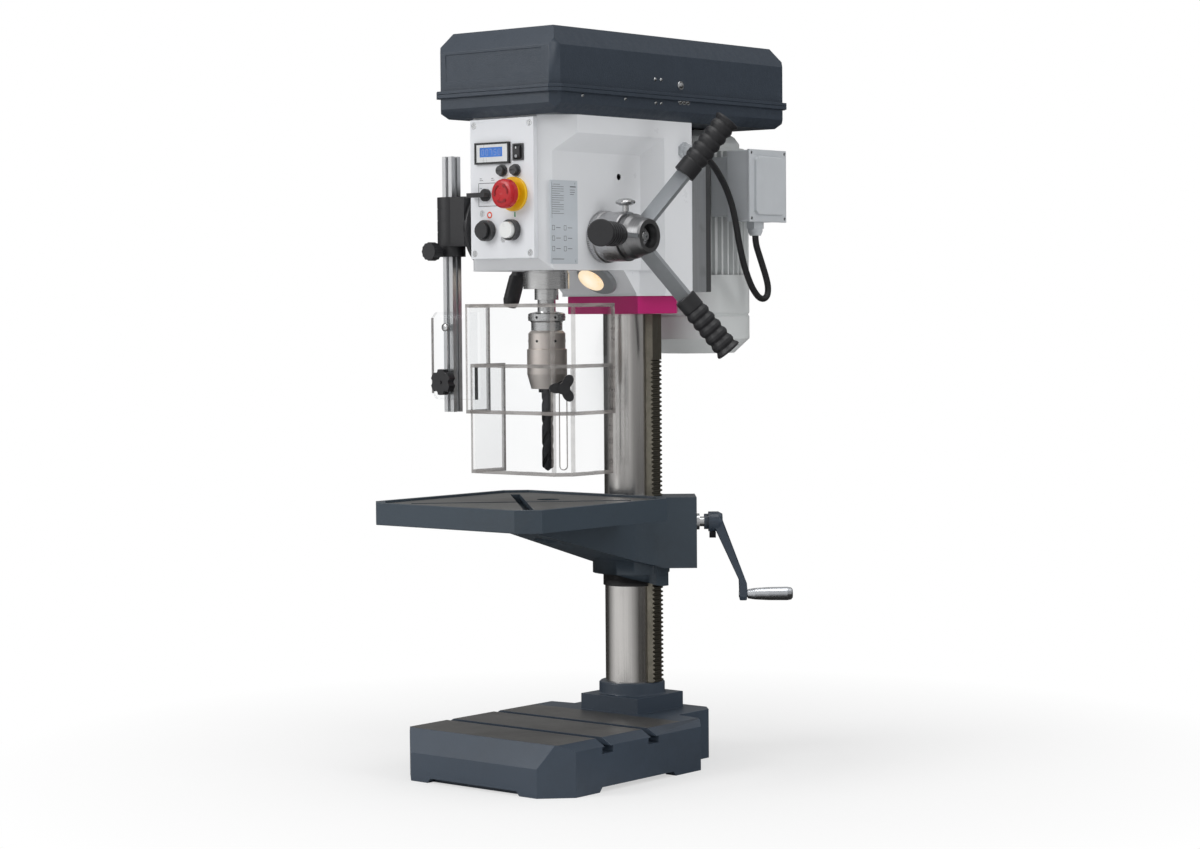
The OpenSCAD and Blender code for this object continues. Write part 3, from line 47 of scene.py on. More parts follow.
RIGHTWARD, FORWARD = (1, 0, 0), (0, -1, 0)

# ------------------------------------------------------------------ camera
# Fitted to the photograph. Angles in radians, place in metres, focal length and sensor in millimetres.
AZ, PITCH, ROLL = math.radians(39.778), math.radians(2.534), math.radians(-0.45)
CAMERA_AT = (2.4421, -3.0007, 0.6480)
FOCAL, SENSOR = 81.334, 36.0
CLIP_NEAR, CLIP_FAR = 0.05, 60.0

fwd = Vector((-math.sin(AZ) * math.cos(PITCH), math.cos(AZ) * math.cos(PITCH), -math.sin(PITCH)))
level = Vector((math.cos(AZ), math.sin(AZ), 0.0))
above = level.cross(fwd)
cam_right = level * math.cos(ROLL) + above * math.sin(ROLL)
cam_up = above * math.cos(ROLL) - level * math.sin(ROLL)
cam_data = bpy.data.cameras.new("camera")
cam_data.sensor_width = SENSOR
cam_data.lens = FOCAL
cam_data.clip_start = CLIP_NEAR
cam_data.clip_end = CLIP_FAR
cam = bpy.data.objects.new("camera", cam_data)
SCENE.collection.objects.link(cam)
rot = Matrix((cam_right, cam_up, -fwd)).transposed()
cam.matrix_world = Matrix.Translation(CAMERA_AT) @ rot.to_4x4()
SCENE.camera = cam
SCENE.view_settings.view_transform = "Standard"


# ------------------------------------------------------------------ rings of points
def bridge(bm, rings, capped=True):
    """Faces between neighbouring rings. A ring of one point is a tip; wider end rings are capped."""
    for a, b in zip(rings, rings[1:]):
        steps = max(len(a), len(b))
        for k in range(steps):
            n = (k + 1) % steps
            if len(a) > 1 and len(b) > 1:
                bm.faces.new((a[k], a[n], b[n], b[k]))
            elif len(b) > 1:
                bm.faces.new((a[0], b[n], b[k]))
            elif len(a) > 1:
                bm.faces.new((a[k], a[n], b[0]))
    if capped and len(rings[0]) > 1:
        bm.faces.new(list(reversed(rings[0])))
    if capped and len(rings[-1]) > 1:
        bm.faces.new(rings[-1])


def around(k, steps):
    """The angle of step k on a full turn."""
    return 2 * math.pi * k / steps


# ------------------------------------------------------------------ motor lead
# From the gland under the terminal box, down in a loop and up to the gland on the head, in millimetres
LEAD = [
    (118, 143, 768), (118, 143, 752), (118, 143, 741), (118, 145.5, 730), (119, 151, 717),
    (120, 158, 701), (120.5, 165, 686), (121, 169.5, 672), (121, 168.5, 660), (120.5, 161, 654),
    (120, 151, 655), (119.5, 142, 661), (119, 132, 672), (119, 123, 686), (119, 115, 701),
    (120, 107, 718), (120.5, 100, 737), (121, 94, 757), (121, 88, 777), (121, 80, 795),
    (122, 68, 812), (123, 55, 826), (125, 40, 838), (127, 25, 847.5), (125, 13, 854.5),
    (119, 7, 859.5), (111, 5, 862), (100, 5, 862), (84, 5, 862),
]
LEAD_RADIUS = 0.0046
LEAD_SHARP = 50.0


def smooth_path(points, per_span=6):
    """Points along a uniform quadratic B-spline that starts and ends on the first and last point."""
    p = [Vector(q) * MM for q in points]
    out = [p[0]]
    for k in range(1, len(p) - 1):
        a = p[0] if k == 1 else (p[k - 1] + p[k]) / 2
        c = p[-1] if k == len(p) - 2 else (p[k] + p[k + 1]) / 2
        for n in range(1, per_span + 1):
            t = n / per_span
            out.append(a * (1 - t) ** 2 + p[k] * 2 * t * (1 - t) + c * t ** 2)
    return out


def tube_bm(path, radius, steps=20):
    """A round tube along the path, closed at both ends; its cross-section is carried without twist."""
    bm = bmesh.new()
    rings = []
    side = Vector((1, 0, 0))
    for k, q in enumerate(path):
        d = (path[min(k + 1, len(path) - 1)] - path[max(k - 1, 0)]).normalized()
        side = (side - d * side.dot(d)).normalized()
        across = d.cross(side)
        ring = []
        for m in range(steps):
            a = around(m, steps)
            ring.append(bm.verts.new(q + (side * math.cos(a) + across * math.sin(a)) * radius))
        rings.append(ring)
    bridge(bm, rings)
    bmesh.ops.recalc_face_normals(bm, faces=bm.faces)
    return bm


lead_mesh = bpy.data.meshes.new("motor_lead")
LEAD_PATH = smooth_path(LEAD)
lead_bm = tube_bm(LEAD_PATH, LEAD_RADIUS)
lead_bm.to_mesh(lead_mesh)
lead_bm.free()
lead_mesh.shade_smooth()
lead_mesh.set_sharp_from_angle(angle=math.radians(LEAD_SHARP))
lead = bpy.data.objects.new("motor_lead", lead_mesh)
SCENE.collection.objects.link(lead)
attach(lead, "frame")
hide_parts("motor_cable")


# ------------------------------------------------------------------ node helpers
MATS = {}
# Sockets of an RGBA mix node, whose names repeat
MIX_FACTOR, MIX_A, MIX_B, MIX_RESULT = 0, 6, 7, 2


class Tree:
    """Adds and joins the nodes of one node tree."""

    def __init__(self, tree, output):
        self.tree = tree
        tree.nodes.clear()
        self.out = self.add(output)
        self.coord = self.add("ShaderNodeTexCoord")

    def add(self, kind, **props):
        node = self.tree.nodes.new(kind)
        for key, value in props.items():
            setattr(node, key, value)
        return node

    def put(self, socket, value):
        """Joins a socket to an output, or sets its constant."""
        if isinstance(value, bpy.types.NodeSocket):
            self.tree.links.new(value, socket)
        else:
            socket.default_value = (*value, 1.0) if socket.type == "RGBA" else value

    def scaled(self, *scale):
        """Object coordinates times one scale, or times one for each axis."""
        node = self.add("ShaderNodeMapping")
        self.put(node.inputs["Vector"], self.coord.outputs["Object"])
        self.put(node.inputs["Scale"], scale if len(scale) > 1 else scale * 3)
        return node.outputs["Vector"]

    def xyz(self, source="Object"):
        node = self.add("ShaderNodeSeparateXYZ")
        self.put(node.inputs[0], self.coord.outputs[source])
        return node.outputs

    def noise(self, vec, scale, detail, rough=0.55):
        node = self.add("ShaderNodeTexNoise")
        for key, value in (("Vector", vec), ("Scale", scale), ("Detail", detail), ("Roughness", rough)):
            self.put(node.inputs[key], value)
        return node.outputs["Fac"]

    def cells(self, vec, scale):
        node = self.add("ShaderNodeTexVoronoi")
        self.put(node.inputs["Vector"], vec)
        self.put(node.inputs["Scale"], scale)
        return node.outputs["Distance"]

    def mix(self, fac, a, b):
        node = self.add("ShaderNodeMix", data_type="RGBA")
        for socket, value in ((MIX_FACTOR, fac), (MIX_A, a), (MIX_B, b)):
            self.put(node.inputs[socket], value)
        return node.outputs[MIX_RESULT]

    def math(self, op, a, b=0.0):
        node = self.add("ShaderNodeMath", operation=op)
        self.put(node.inputs[0], a)
        self.put(node.inputs[1], b)
        return node.outputs[0]

    def length(self, x, y):
        squares = [self.math("MULTIPLY", v, v) for v in (x, y)]
        return self.math("SQRT", self.math("ADD", *squares))

    def range(self, value, low, high, out_low, out_high, curve="LINEAR"):
        """Maps low..high to out_low..out_high and holds both ends."""
        node = self.add("ShaderNodeMapRange", interpolation_type=curve)
        for key, x in (("Value", value), ("From Min", low), ("From Max", high),
                       ("To Min", out_low), ("To Max", out_high)):
            self.put(node.inputs[key], x)
        return node.outputs["Result"]

    def bump(self, height, strength, distance, normal=None):
        node = self.add("ShaderNodeBump")
        self.put(node.inputs["Height"], height)
        self.put(node.inputs["Strength"], strength)
        self.put(node.inputs["Distance"], distance)
        if normal is not None:
            self.put(node.inputs["Normal"], normal)
        return node.outputs["Normal"]

    def shader(self, kind, **inputs):
        """A shader node; an underscore in a keyword stands for a space in the socket's name."""
        node = self.add(kind)
        for key, value in inputs.items():
            self.put(node.inputs[key.replace("_", " ")], value)
        return node.outputs[0]

    def blend(self, fac, a, b):
        node = self.add("ShaderNodeMixShader")
        for socket, value in zip(node.inputs, (fac, a, b)):
            self.put(socket, value)
        return node.outputs[0]

    def finish(self, shader):
        self.put(self.out.inputs["Surface"], shader)

    def surface(self, color, rough, metallic=0.0, **more):
        """Ends the tree in a Principled BSDF."""
        self.finish(self.shader("ShaderNodeBsdfPrincipled", Base_Color=color, Roughness=rough,
                                Metallic=metallic, **more))


def material(name):
    """The empty tree of a new material."""
    mat = bpy.data.materials.new(name)
    mat.use_nodes = True
    MATS[name] = mat
    return Tree(mat.node_tree, "ShaderNodeOutputMaterial")


def hexcol(h):
    """sRGB hex to linear colour."""
    c = [int(h[i:i + 2], 16) / 255 for i in (0, 2, 4)]
    return tuple(x / 12.92 if x <= 0.04045 else ((x + 0.055) / 1.055) ** 2.4 for x in c)


def tint(color, k, lift=0.0):
    """A colour made darker or lighter by a factor and a lift."""
    return tuple(min(1.0, x * k + lift) for x in color)


# ------------------------------------------------------------------ kinds of finish
def paint(name, color, rough, peel, dirt, peel_scale=420.0):
    """Sprayed enamel over a casting: orange peel, faint mottling and dust."""
    t = material(name)
    v = t.scaled(1.0)
    mottle = t.noise(v, scale=6.0, detail=5.0, rough=0.6)
    dust = t.noise(v, scale=90.0, detail=3.0, rough=0.6)
    uneven = t.noise(v, scale=22.0, detail=4.0, rough=0.6)
    col = t.mix(t.range(mottle, 0.3, 0.7, 0.0, dirt), color, tint(color, 0.72))
    col = t.mix(t.range(dust, 0.55, 0.8, 0.0, dirt * 0.8), col, tint(color, 1.12, 0.01))
    n = t.bump(t.noise(v, scale=peel_scale, detail=2.0, rough=0.5), strength=peel, distance=0.0006)
    n = t.bump(t.noise(v, scale=60.0, detail=2.0, rough=0.5), strength=peel * 0.8, distance=0.0012, normal=n)
    t.surface(col, t.range(uneven, 0.3, 0.7, rough - 0.07, rough + 0.1), Normal=n,
              Specular_IOR_Level=0.5, Coat_Weight=0.15, Coat_Roughness=0.25)


def machined_paint(name, color, metal, z_low, z_high, y_back=None, ring=None):
    """Painted casting whose upward faces between two heights are machined bare.

    y_back ends the bare part towards the rear. Below ring[0] and within ring[1] of the pillar's axis the
    casting is black with fine scratches.
    """
    t = material(name)
    v = t.scaled(1.0)
    xyz = t.xyz()
    up_face = t.range(t.xyz("Normal")[2], 0.93, 0.97, 0.0, 1.0)
    in_low = t.range(xyz[2], z_low - 0.0006, z_low, 0.0, 1.0)
    in_high = t.range(xyz[2], z_high, z_high + 0.0006, 1.0, 0.0)
    bare = t.math("MULTIPLY", t.math("MULTIPLY", up_face, in_low), in_high)
    if y_back is not None:
        wander = t.range(t.noise(v, scale=30.0, detail=3.0), 0.0, 1.0, -0.006, 0.006)
        edge = t.math("ADD", xyz[1], wander)
        bare = t.math("MULTIPLY", bare, t.range(edge, y_back, y_back + 0.004, 1.0, 0.0))
    mottle = t.noise(v, scale=6.0, detail=5.0, rough=0.6)
    speck = t.noise(v, scale=70.0, detail=3.0, rough=0.6)
    scuff = t.noise(t.scaled(1.0, 1.0, 2.2), scale=120.0, detail=9.0, rough=0.8)
    smudge = t.noise(v, scale=9.0, detail=7.0, rough=0.75)
    pcol = t.mix(t.range(mottle, 0.3, 0.7, 0.0, 0.2), color, tint(color, 0.7))
    pcol = t.mix(t.range(speck, 0.58, 0.82, 0.0, 0.15), pcol, tint(color, 1.25))
    pcol = t.mix(t.range(scuff, 0.64, 0.69, 0.0, 0.55), pcol, tint(color, 1.9, 0.01))
    pcol = t.mix(t.range(smudge, 0.52, 0.72, 0.0, 0.5), pcol, tint(color, 0.55, 0.012))
    streak = t.noise(t.scaled(3.0, 160.0, 3.0), scale=4.0, detail=6.0, rough=0.65)
    stain = t.noise(v, scale=11.0, detail=6.0, rough=0.65)
    mcol = t.mix(t.range(streak, 0.3, 0.7, 0.0, 0.6), metal, tint(metal, 0.62))
    mcol = t.mix(t.range(stain, 0.45, 0.75, 0.0, 0.45), mcol, tint(metal, 0.5))
    col = t.mix(bare, pcol, mcol)
    if ring is not None:
        top, radius = ring
        near = t.math("MULTIPLY", t.range(t.length(xyz[0], xyz[1]), radius, radius + 0.0004, 1.0, 0.0),
                      t.range(xyz[2], top - 0.0004, top, 1.0, 0.0))
        scratch = t.noise(t.scaled(60.0, 60.0, 900.0), scale=1.0, detail=5.0, rough=0.7)
        black = t.mix(t.range(scratch, 0.6, 0.72, 0.0, 1.0), (0.012, 0.012, 0.013), (0.12, 0.12, 0.12))
        col = t.mix(near, col, black)
    rough = t.math("ADD", t.range(stain, 0.3, 0.7, 0.36, 0.5), t.math("MULTIPLY", bare, -0.02))
    n = t.bump(t.noise(v, scale=380.0, detail=2.0), strength=0.16, distance=0.0006)
    n = t.bump(t.noise(v, scale=55.0, detail=2.0), strength=0.14, distance=0.0014, normal=n)
    t.surface(col, rough, t.math("MULTIPLY", bare, 0.75), Normal=n, Specular_IOR_Level=0.45)


def steel(name, color, rough, dark, lines, amount, bump, stain, metallic=1.0):
    """Turned or ground metal: fine lines along one axis, stains, uneven polish."""
    t = material(name)
    grain = t.noise(t.scaled(*lines), scale=1.0, detail=6.0, rough=0.7)
    spots = t.noise(t.scaled(1.0), scale=14.0, detail=6.0, rough=0.65)
    col = t.mix(t.range(grain, 0.3, 0.7, 0.0, amount), color, tint(color, dark))
    col = t.mix(t.range(spots, 0.5, 0.78, 0.0, stain), col, tint(color, 0.45))
    t.surface(col, t.range(grain, 0.3, 0.7, rough - 0.06, rough + 0.08), metallic,
              Normal=t.bump(grain, bump, distance=0.0002))


def plastic(name, color, rough, grain, scale, mottle=0.12):
    """Moulded plastic with a fine spark-eroded grain."""
    t = material(name)
    v = t.scaled(1.0)
    cloud = t.noise(v, scale=40.0, detail=4.0, rough=0.6)
    uneven = t.noise(v, scale=120.0, detail=3.0)
    col = t.mix(t.range(cloud, 0.35, 0.75, 0.0, mottle), color, tint(color, 1.35, 0.004))
    t.surface(col, t.range(uneven, 0.3, 0.7, rough - 0.06, rough + 0.08),
              Normal=t.bump(t.cells(v, scale), grain, distance=0.0004), Specular_IOR_Level=0.5)


# ------------------------------------------------------------------ materials
GREY = hexcol("3d4855")
TABLE_GREY = hexcol("3b4650")

# Name, colour, roughness, orange peel, dirt and, where it isn't the usual one, the scale of the peel
for row in (
    ("paint_grey", GREY, 0.36, 0.16, 0.25),
    ("paint_white", hexcol("e6e8eb"), 0.34, 0.12, 0.1),
    ("paint_panel", hexcol("e4e6ea"), 0.4, 0.03, 0.05, 300.0),
    ("paint_motor", hexcol("cfd2d2"), 0.4, 0.1, 0.14),
    ("paint_magenta", hexcol("c21a72"), 0.42, 0.16, 0.15),
):
    paint(*row)

# Bare metal: the top of the base in front of the pillar collar, at 70 mm, and the table's sunk face, at 380 mm
machined_paint("base_mix", GREY, metal=(0.17, 0.165, 0.16), z_low=0.0697, z_high=0.0703, y_back=-0.062)
machined_paint("table_mix", TABLE_GREY, metal=(0.2, 0.2, 0.195), z_low=0.3797, z_high=0.3803,
               ring=(0.266, 0.0405))

# Name, colour, roughness, tone of the lines, their scale on each axis, their amount, bump, stains, metallic
for row in (
    ("steel_ground", (0.7, 0.68, 0.66), 0.2, 0.7, (700.0, 700.0, 3.0), 0.35, 0.04, 0.2),
    ("steel_turned", (0.66, 0.66, 0.66), 0.23, 0.7, (30.0, 30.0, 900.0), 0.4, 0.06, 0.15),
    ("steel_x", (0.55, 0.55, 0.56), 0.3, 0.7, (900.0, 40.0, 40.0), 0.4, 0.06, 0.15),
    ("steel_bright", (0.68, 0.69, 0.7), 0.22, 0.8, (60.0, 60.0, 60.0), 0.25, 0.03, 0.05),
    ("steel_rack", (0.3, 0.28, 0.23), 0.42, 0.45, (60.0, 400.0, 60.0), 0.5, 0.1, 0.4),
    ("steel_blasted", (0.66, 0.6, 0.56), 0.42, 0.8, (300.0, 300.0, 300.0), 0.3, 0.15, 0.1),
    ("steel_black", (0.03, 0.03, 0.033), 0.38, 0.6, (200.0, 200.0, 200.0), 0.3, 0.05, 0.1),
    ("hub_iron", (0.26, 0.26, 0.265), 0.38, 0.6, (700.0, 30.0, 30.0), 0.5, 0.1, 0.25),
    ("aluminium", (0.7, 0.71, 0.72), 0.3, 0.8, (500.0, 500.0, 5.0), 0.3, 0.03, 0.08),
    ("aluminium_turned", (0.66, 0.68, 0.71), 0.27, 0.75, (60.0, 60.0, 500.0), 0.3, 0.04, 0.06),
    ("arm_metal", (0.38, 0.4, 0.42), 0.42, 0.75, (40.0, 40.0, 40.0), 0.35, 0.03, 0.15, 0.6),
):
    steel(*row)

# Name, colour, roughness, depth of the grain, its scale and, where it isn't the usual one, the mottling
for row in (
    ("plastic_black", (0.016, 0.016, 0.018), 0.42, 0.12, 900.0),
    ("plastic_cover", hexcol("303944"), 0.5, 0.4, 520.0, 0.25),
    ("plastic_grey", (0.05, 0.051, 0.054), 0.4, 0.08, 700.0),
    ("print_dark", (0.06, 0.065, 0.07), 0.5, 0.02, 900.0),
    ("print_red", (0.7, 0.07, 0.02), 0.45, 0.02, 900.0),
    ("print_green", (0.02, 0.3, 0.12), 0.45, 0.02, 900.0),
    ("print_white", (0.75, 0.78, 0.8), 0.45, 0.02, 900.0),
    ("digit_blue", (0.2, 0.3, 0.6), 0.3, 0.02, 900.0),
    ("rubber_black", (0.018, 0.018, 0.02), 0.46, 0.22, 600.0),
    ("bezel_grey", hexcol("8f9295"), 0.32, 0.04, 500.0),
    ("plate_face", hexcol("c3c9cf"), 0.4, 0.03, 500.0),
    ("plastic_light", hexcol("bcc0c4"), 0.42, 0.06, 500.0),
    ("plastic_white", hexcol("e9ebea"), 0.3, 0.03, 500.0),
    ("plastic_yellow", hexcol("f5c012"), 0.35, 0.05, 400.0),
    ("plastic_red", hexcol("b5161f"), 0.32, 0.04, 400.0),
    ("plastic_red_dark", hexcol("8a1118"), 0.36, 0.04, 400.0),
    ("belt_rubber", (0.02, 0.02, 0.021), 0.7, 0.3, 300.0),
):
    plastic(*row)


def bracket_metal():
    """Zinc-grey side plates in front of the darker motor plate."""
    t = material("bracket_metal")
    back = t.range(t.xyz()[1], 0.0578, 0.0582, 0.0, 1.0)
    brush = t.noise(t.scaled(300.0, 300.0, 8.0), scale=1.0, detail=6.0, rough=0.7)
    spots = t.noise(t.scaled(1.0), scale=30.0, detail=5.0, rough=0.6)
    zinc = t.mix(t.range(brush, 0.3, 0.7, 0.0, 0.6), (0.5, 0.52, 0.54), (0.34, 0.35, 0.36))
    zinc = t.mix(t.range(spots, 0.55, 0.8, 0.0, 0.5), zinc, (0.16, 0.16, 0.165))
    col = t.mix(back, zinc, (0.055, 0.056, 0.058))
    t.surface(col, t.range(brush, 0.3, 0.7, 0.36, 0.52), t.range(back, 0.0, 1.0, 0.7, 0.0),
              Normal=t.bump(brush, strength=0.08, distance=0.0002))


def acrylic(name, low, high, backs, folds):
    """Clear sheet: the wide faces hardly show; a grey-brown painted reflection lies along the borders and
    folds.

    low and high are the heights of its edges, backs the (side, y) of its rear edges, folds the (x, y) of its
    bends.
    """
    t = material(name)
    xyz = t.xyz()
    v = t.scaled(1.0)
    wander = t.range(t.noise(v, scale=40.0, detail=2.0, rough=0.5), 0.0, 1.0, -0.0006, 0.0006)
    z = t.math("ADD", xyz[2], wander)
    y = t.math("ADD", xyz[1], wander)
    # Painted reflection: grey-brown bands along the top and bottom edges, the rear edges and the bends
    reflection_band = t.math("MAXIMUM", t.range(z, low + 0.0045, low + 0.0053, 1.0, 0.0),
                  t.range(z, high - 0.0053, high - 0.0045, 0.0, 1.0))
    for side, y_back in backs:
        on_side = t.math("GREATER_THAN", t.math("MULTIPLY", xyz[0], side), 0.06)
        at_back = t.range(y, y_back - 0.0045, y_back - 0.0038, 0.0, 1.0)
        reflection_band = t.math("MAXIMUM", reflection_band, t.math("MULTIPLY", on_side, at_back))
    for fold_x, fold_y in folds:
        off = t.length(t.math("SUBTRACT", xyz[0], fold_x), t.math("SUBTRACT", xyz[1], fold_y))
        bend = t.math("MULTIPLY", t.range(off, 0.0030, 0.0042, 1.0, 0.0), 0.75)
        reflection_band = t.math("MAXIMUM", reflection_band, bend)
    haze = t.noise(v, scale=9.0, detail=5.0, rough=0.6)
    clear = t.shader("ShaderNodeBsdfTransparent", Color=t.mix(
        t.range(haze, 0.3, 0.8, 0.0, 1.0), (0.992, 0.994, 0.995), (0.972, 0.975, 0.977)))
    gloss = t.shader("ShaderNodeBsdfGlossy", Roughness=0.05, Color=(0.9, 0.93, 0.95))
    facing = t.add("ShaderNodeLayerWeight")
    t.put(facing.inputs["Blend"], 0.25)
    pane = t.blend(t.range(facing.outputs["Fresnel"], 0.0, 1.0, 0.004, 0.22), clear, gloss)
    tone = t.noise(t.scaled(6.0, 6.0, 40.0), scale=4.0, detail=3.0, rough=0.5)
    # Grey-brown colour of the painted reflection
    border_reflection = t.shader("ShaderNodeBsdfPrincipled", Roughness=0.22, Base_Color=t.mix(
        t.range(tone, 0.35, 0.65, 0.0, 1.0), (0.25, 0.23, 0.22), (0.42, 0.395, 0.375)))
    t.finish(t.blend(t.math("MULTIPLY", reflection_band, 0.6), pane, border_reflection))


def acrylic_edge_reflection():
    """Cut edges of the clear sheets, painted grey-brown as reflection."""
    t = material("acrylic_edge_reflection")
    tone = t.noise(t.scaled(8.0, 8.0, 40.0), scale=5.0, detail=3.0, rough=0.5)
    col = t.mix(t.range(tone, 0.3, 0.7, 0.0, 1.0), (0.17, 0.155, 0.145), (0.42, 0.39, 0.37))
    t.surface(col, 0.22, Alpha=0.85)


def lamp_glow():
    """Lit lens: bead pattern, hot in the middle and orange at the rim."""
    lens_x, lens_z = 0.005, 0.681
    t = material("lamp_glow")
    bead = t.cells(t.scaled(1.0), 240.0)
    xyz = t.xyz()
    off = t.length(t.math("SUBTRACT", xyz[0], lens_x), t.math("SUBTRACT", xyz[2], lens_z))
    warm = t.mix(t.range(off, 0.003, 0.017, 0.0, 1.0), (1.0, 0.92, 0.74), (0.95, 0.62, 0.3))
    glow = t.mix(t.range(bead, 0.0, 0.6, 0.0, 0.5), warm, (1.0, 0.9, 0.7))
    t.surface((0.5, 0.42, 0.32), 0.25, Normal=t.bump(bead, strength=0.3, distance=0.001),
              Emission_Color=glow, Emission_Strength=0.85)


def display_face():
    """Blue window of the read-out, faintly lit."""
    t = material("display_face")
    cloud = t.noise(t.scaled(1.0), scale=120.0, detail=2.0)
    col = t.mix(t.range(cloud, 0.3, 0.7, 0.0, 1.0), (0.05, 0.16, 0.5), (0.07, 0.22, 0.62))
    t.surface(col, 0.12, Emission_Color=(0.06, 0.2, 0.75), Emission_Strength=0.12)


bracket_metal()
acrylic("acrylic_upper", low=0.500, high=0.650, backs=((-1.0, -0.214), (1.0, -0.153)),
        folds=((-0.0785, -0.260), (0.0785, -0.260), (0.099, -0.2395)))
acrylic("acrylic_lower", low=0.418, high=0.568, backs=((-1.0, -0.188), (1.0, -0.153)),
        folds=((-0.0739, -0.2554), (0.0754, -0.2554), (0.0944, -0.2364)))
acrylic_edge_reflection()
lamp_glow()
display_face()

# ------------------------------------------------------------------ mesh helpers
SHARP, TURNED_SHARP = 32.0, 40.0
MERGE = 0.00002
FLAT_ANGLE = 0.6
MIN_BEVEL_ANGLE = 25.0
NORMAL_WEIGHT = 80


def new_object(name, bm, mats, body, smooth=SHARP):
    me = bpy.data.meshes.new(name)
    bm.to_mesh(me)
    bm.free()
    for m in mats:
        me.materials.append(MATS[m])
    me.shade_smooth()
    me.set_sharp_from_angle(angle=math.radians(smooth))
    ob = bpy.data.objects.new(name, me)
    SCENE.collection.objects.link(ob)
    if body:
        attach(ob, body)
    return ob


def cad_bm(node):
    """A clean editable copy of a CAD node: merged points and whole flat faces."""
    bm = bmesh.new()
    bm.from_mesh(NODES[node].data)
    bmesh.ops.remove_doubles(bm, verts=bm.verts, dist=MERGE)
    bmesh.ops.dissolve_limit(bm, angle_limit=math.radians(FLAT_ANGLE), verts=bm.verts, edges=bm.edges)
    bm.normal_update()
    return bm


def dressed(node, mat, width, segments, min_len):
    """The CAD node with its long edges rounded and a better finish."""
    bm = cad_bm(node)
    edges = [e for e in bm.edges
             if len(e.link_faces) == 2 and e.calc_length() >= min_len
             and math.degrees(e.calc_face_angle(0.0)) >= MIN_BEVEL_ANGLE]
    if edges:
        bmesh.ops.bevel(bm, geom=edges, offset=width, offset_type="OFFSET", segments=segments, profile=0.5,
                        affect="EDGES", clamp_overlap=True)
    ob = new_object(node + "_skin", bm, [mat], BODY[node])
    wn = ob.modifiers.new("weighted", "WEIGHTED_NORMAL")
    wn.keep_sharp = True
    wn.weight = NORMAL_WEIGHT
    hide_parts(node)


def recolour(node, mat):
    """A CAD node whose shape is right: only the finish changes."""
    ob = NODES[node]
    ob.data.materials.clear()
    ob.data.materials.append(MATS[mat])


# ------------------------------------------------------------------ the CAD nodes
# Node, material, width of the rounding in metres, its segments, shortest edge that is rounded
for row in (
    ("base_casting", "base_mix", 0.0022, 3, 0.015),
    ("table_casting", "table_mix", 0.0016, 3, 0.012),
    ("head_casting", "paint_white", 0.003, 4, 0.02),
    ("column_clamp_block", "paint_magenta", 0.0014, 3, 0.015),
    ("front_panel", "paint_panel", 0.0012, 2, 0.05),
    ("cover_tray", "plastic_cover", 0.0022, 3, 0.015),
    ("cover_lid", "plastic_cover", 0.0035, 4, 0.015),
    ("crank_arm", "paint_grey", 0.0016, 3, 0.006),
    ("motor_bracket", "bracket_metal", 0.0012, 2, 0.02),
    ("terminal_box", "plastic_light", 0.0018, 3, 0.015),
    ("terminal_box_lid", "plastic_light", 0.0016, 3, 0.01),
    ("guard_mount", "plastic_black", 0.0012, 2, 0.012),
):
    dressed(*row)

for mat, nodes in {
    "steel_ground": "column_tube",
    "steel_rack": "column_rack",
    "steel_black": "clamp_screws crank_arm_screw chuck_jaws drill_bit",
    "steel_bright": "crank_shaft panel_screws",
    "steel_turned": "lift_pinion_shaft quill spindle_bearings spindle chuck_body depth_ring_knob motor_rotor",
    "steel_x": "feed_pinion_shaft depth_ring",
    "steel_blasted": "chuck_sleeve",
    "hub_iron": "feed_hub",
    "arm_metal": "feed_arms",
    "aluminium": "guard_bar",
    "aluminium_turned": "crank_handle spindle_pulley",
    "paint_motor": "motor_body motor_fan_cover",
    "rubber_black": "feed_grips",
    "belt_rubber": "drive_belt",
    "bezel_grey": "lamp_housing",
    "lamp_glow": "lamp_lens",
    "plate_face": "data_plate",
    "plastic_grey": "switch_bezels",
    "plastic_light": "cable_glands",
    "plastic_white": "on_button",
    "plastic_red": "emergency_stop_button",
    "plastic_yellow": "stop_collar",
    "plastic_black": "table_clamp_lever speed_counter rocker_switch selector_knob off_button speed_lever"
                     " guard_collar guard_height_knob guard_bar_knob guard_wing_knob",
}.items():
    for node in nodes.split():
        recolour(node, mat)

# A face of a clear sheet narrower than this, or one that looks up or down, is an edge
EDGE_FACE, LEVEL_FACE = 0.0058, 0.9
DIRECTIONS = 12


def guard_sheet(node, face_mat):
    """The clear sheet with its narrow edge faces in the painted edge reflection."""
    bm = cad_bm(node)
    for f in bm.faces:
        corners = [v.co for v in f.verts]
        a = f.normal.orthogonal().normalized()
        b = f.normal.cross(a)
        widths = []
        for k in range(DIRECTIONS):
            angle = math.pi * k / DIRECTIONS
            d = a * math.cos(angle) + b * math.sin(angle)
            along = [x.dot(d) for x in corners]
            widths.append(max(along) - min(along))
        f.material_index = 1 if min(widths) < EDGE_FACE or abs(f.normal.z) > LEVEL_FACE else 0
    ob = new_object(node + "_skin", bm, [face_mat, "acrylic_edge_reflection"], BODY[node])
    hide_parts(node)


guard_sheet("guard_upper_sheet", "acrylic_upper")
guard_sheet("guard_lower_sheet", "acrylic_lower")
lead_mesh.materials.append(MATS["rubber_black"])


# ------------------------------------------------------------------ small detail
def add_cube(bm, matrix):
    """A unit cube put in place by a matrix."""
    v = bmesh.ops.create_cube(bm, size=1.0)["verts"]
    bmesh.ops.transform(bm, matrix=matrix, verts=v)


def facing(axis):
    """The turn that takes up to the given axis."""
    return UP.rotation_difference(Vector(axis).normalized()).to_matrix().to_4x4()


def boxes(name, items, mat, body):
    """Many thin boxes in one piece; each is its low and high corner in millimetres."""
    bm = bmesh.new()
    for lo, hi in items:
        c = [(a + b) / 2 * MM for a, b in zip(lo, hi)]
        d = [abs(b - a) * MM for a, b in zip(lo, hi)]
        add_cube(bm, Matrix.Translation(c) @ Matrix.Diagonal((*d, 1.0)))
    ob = new_object(name, bm, [mat], body)


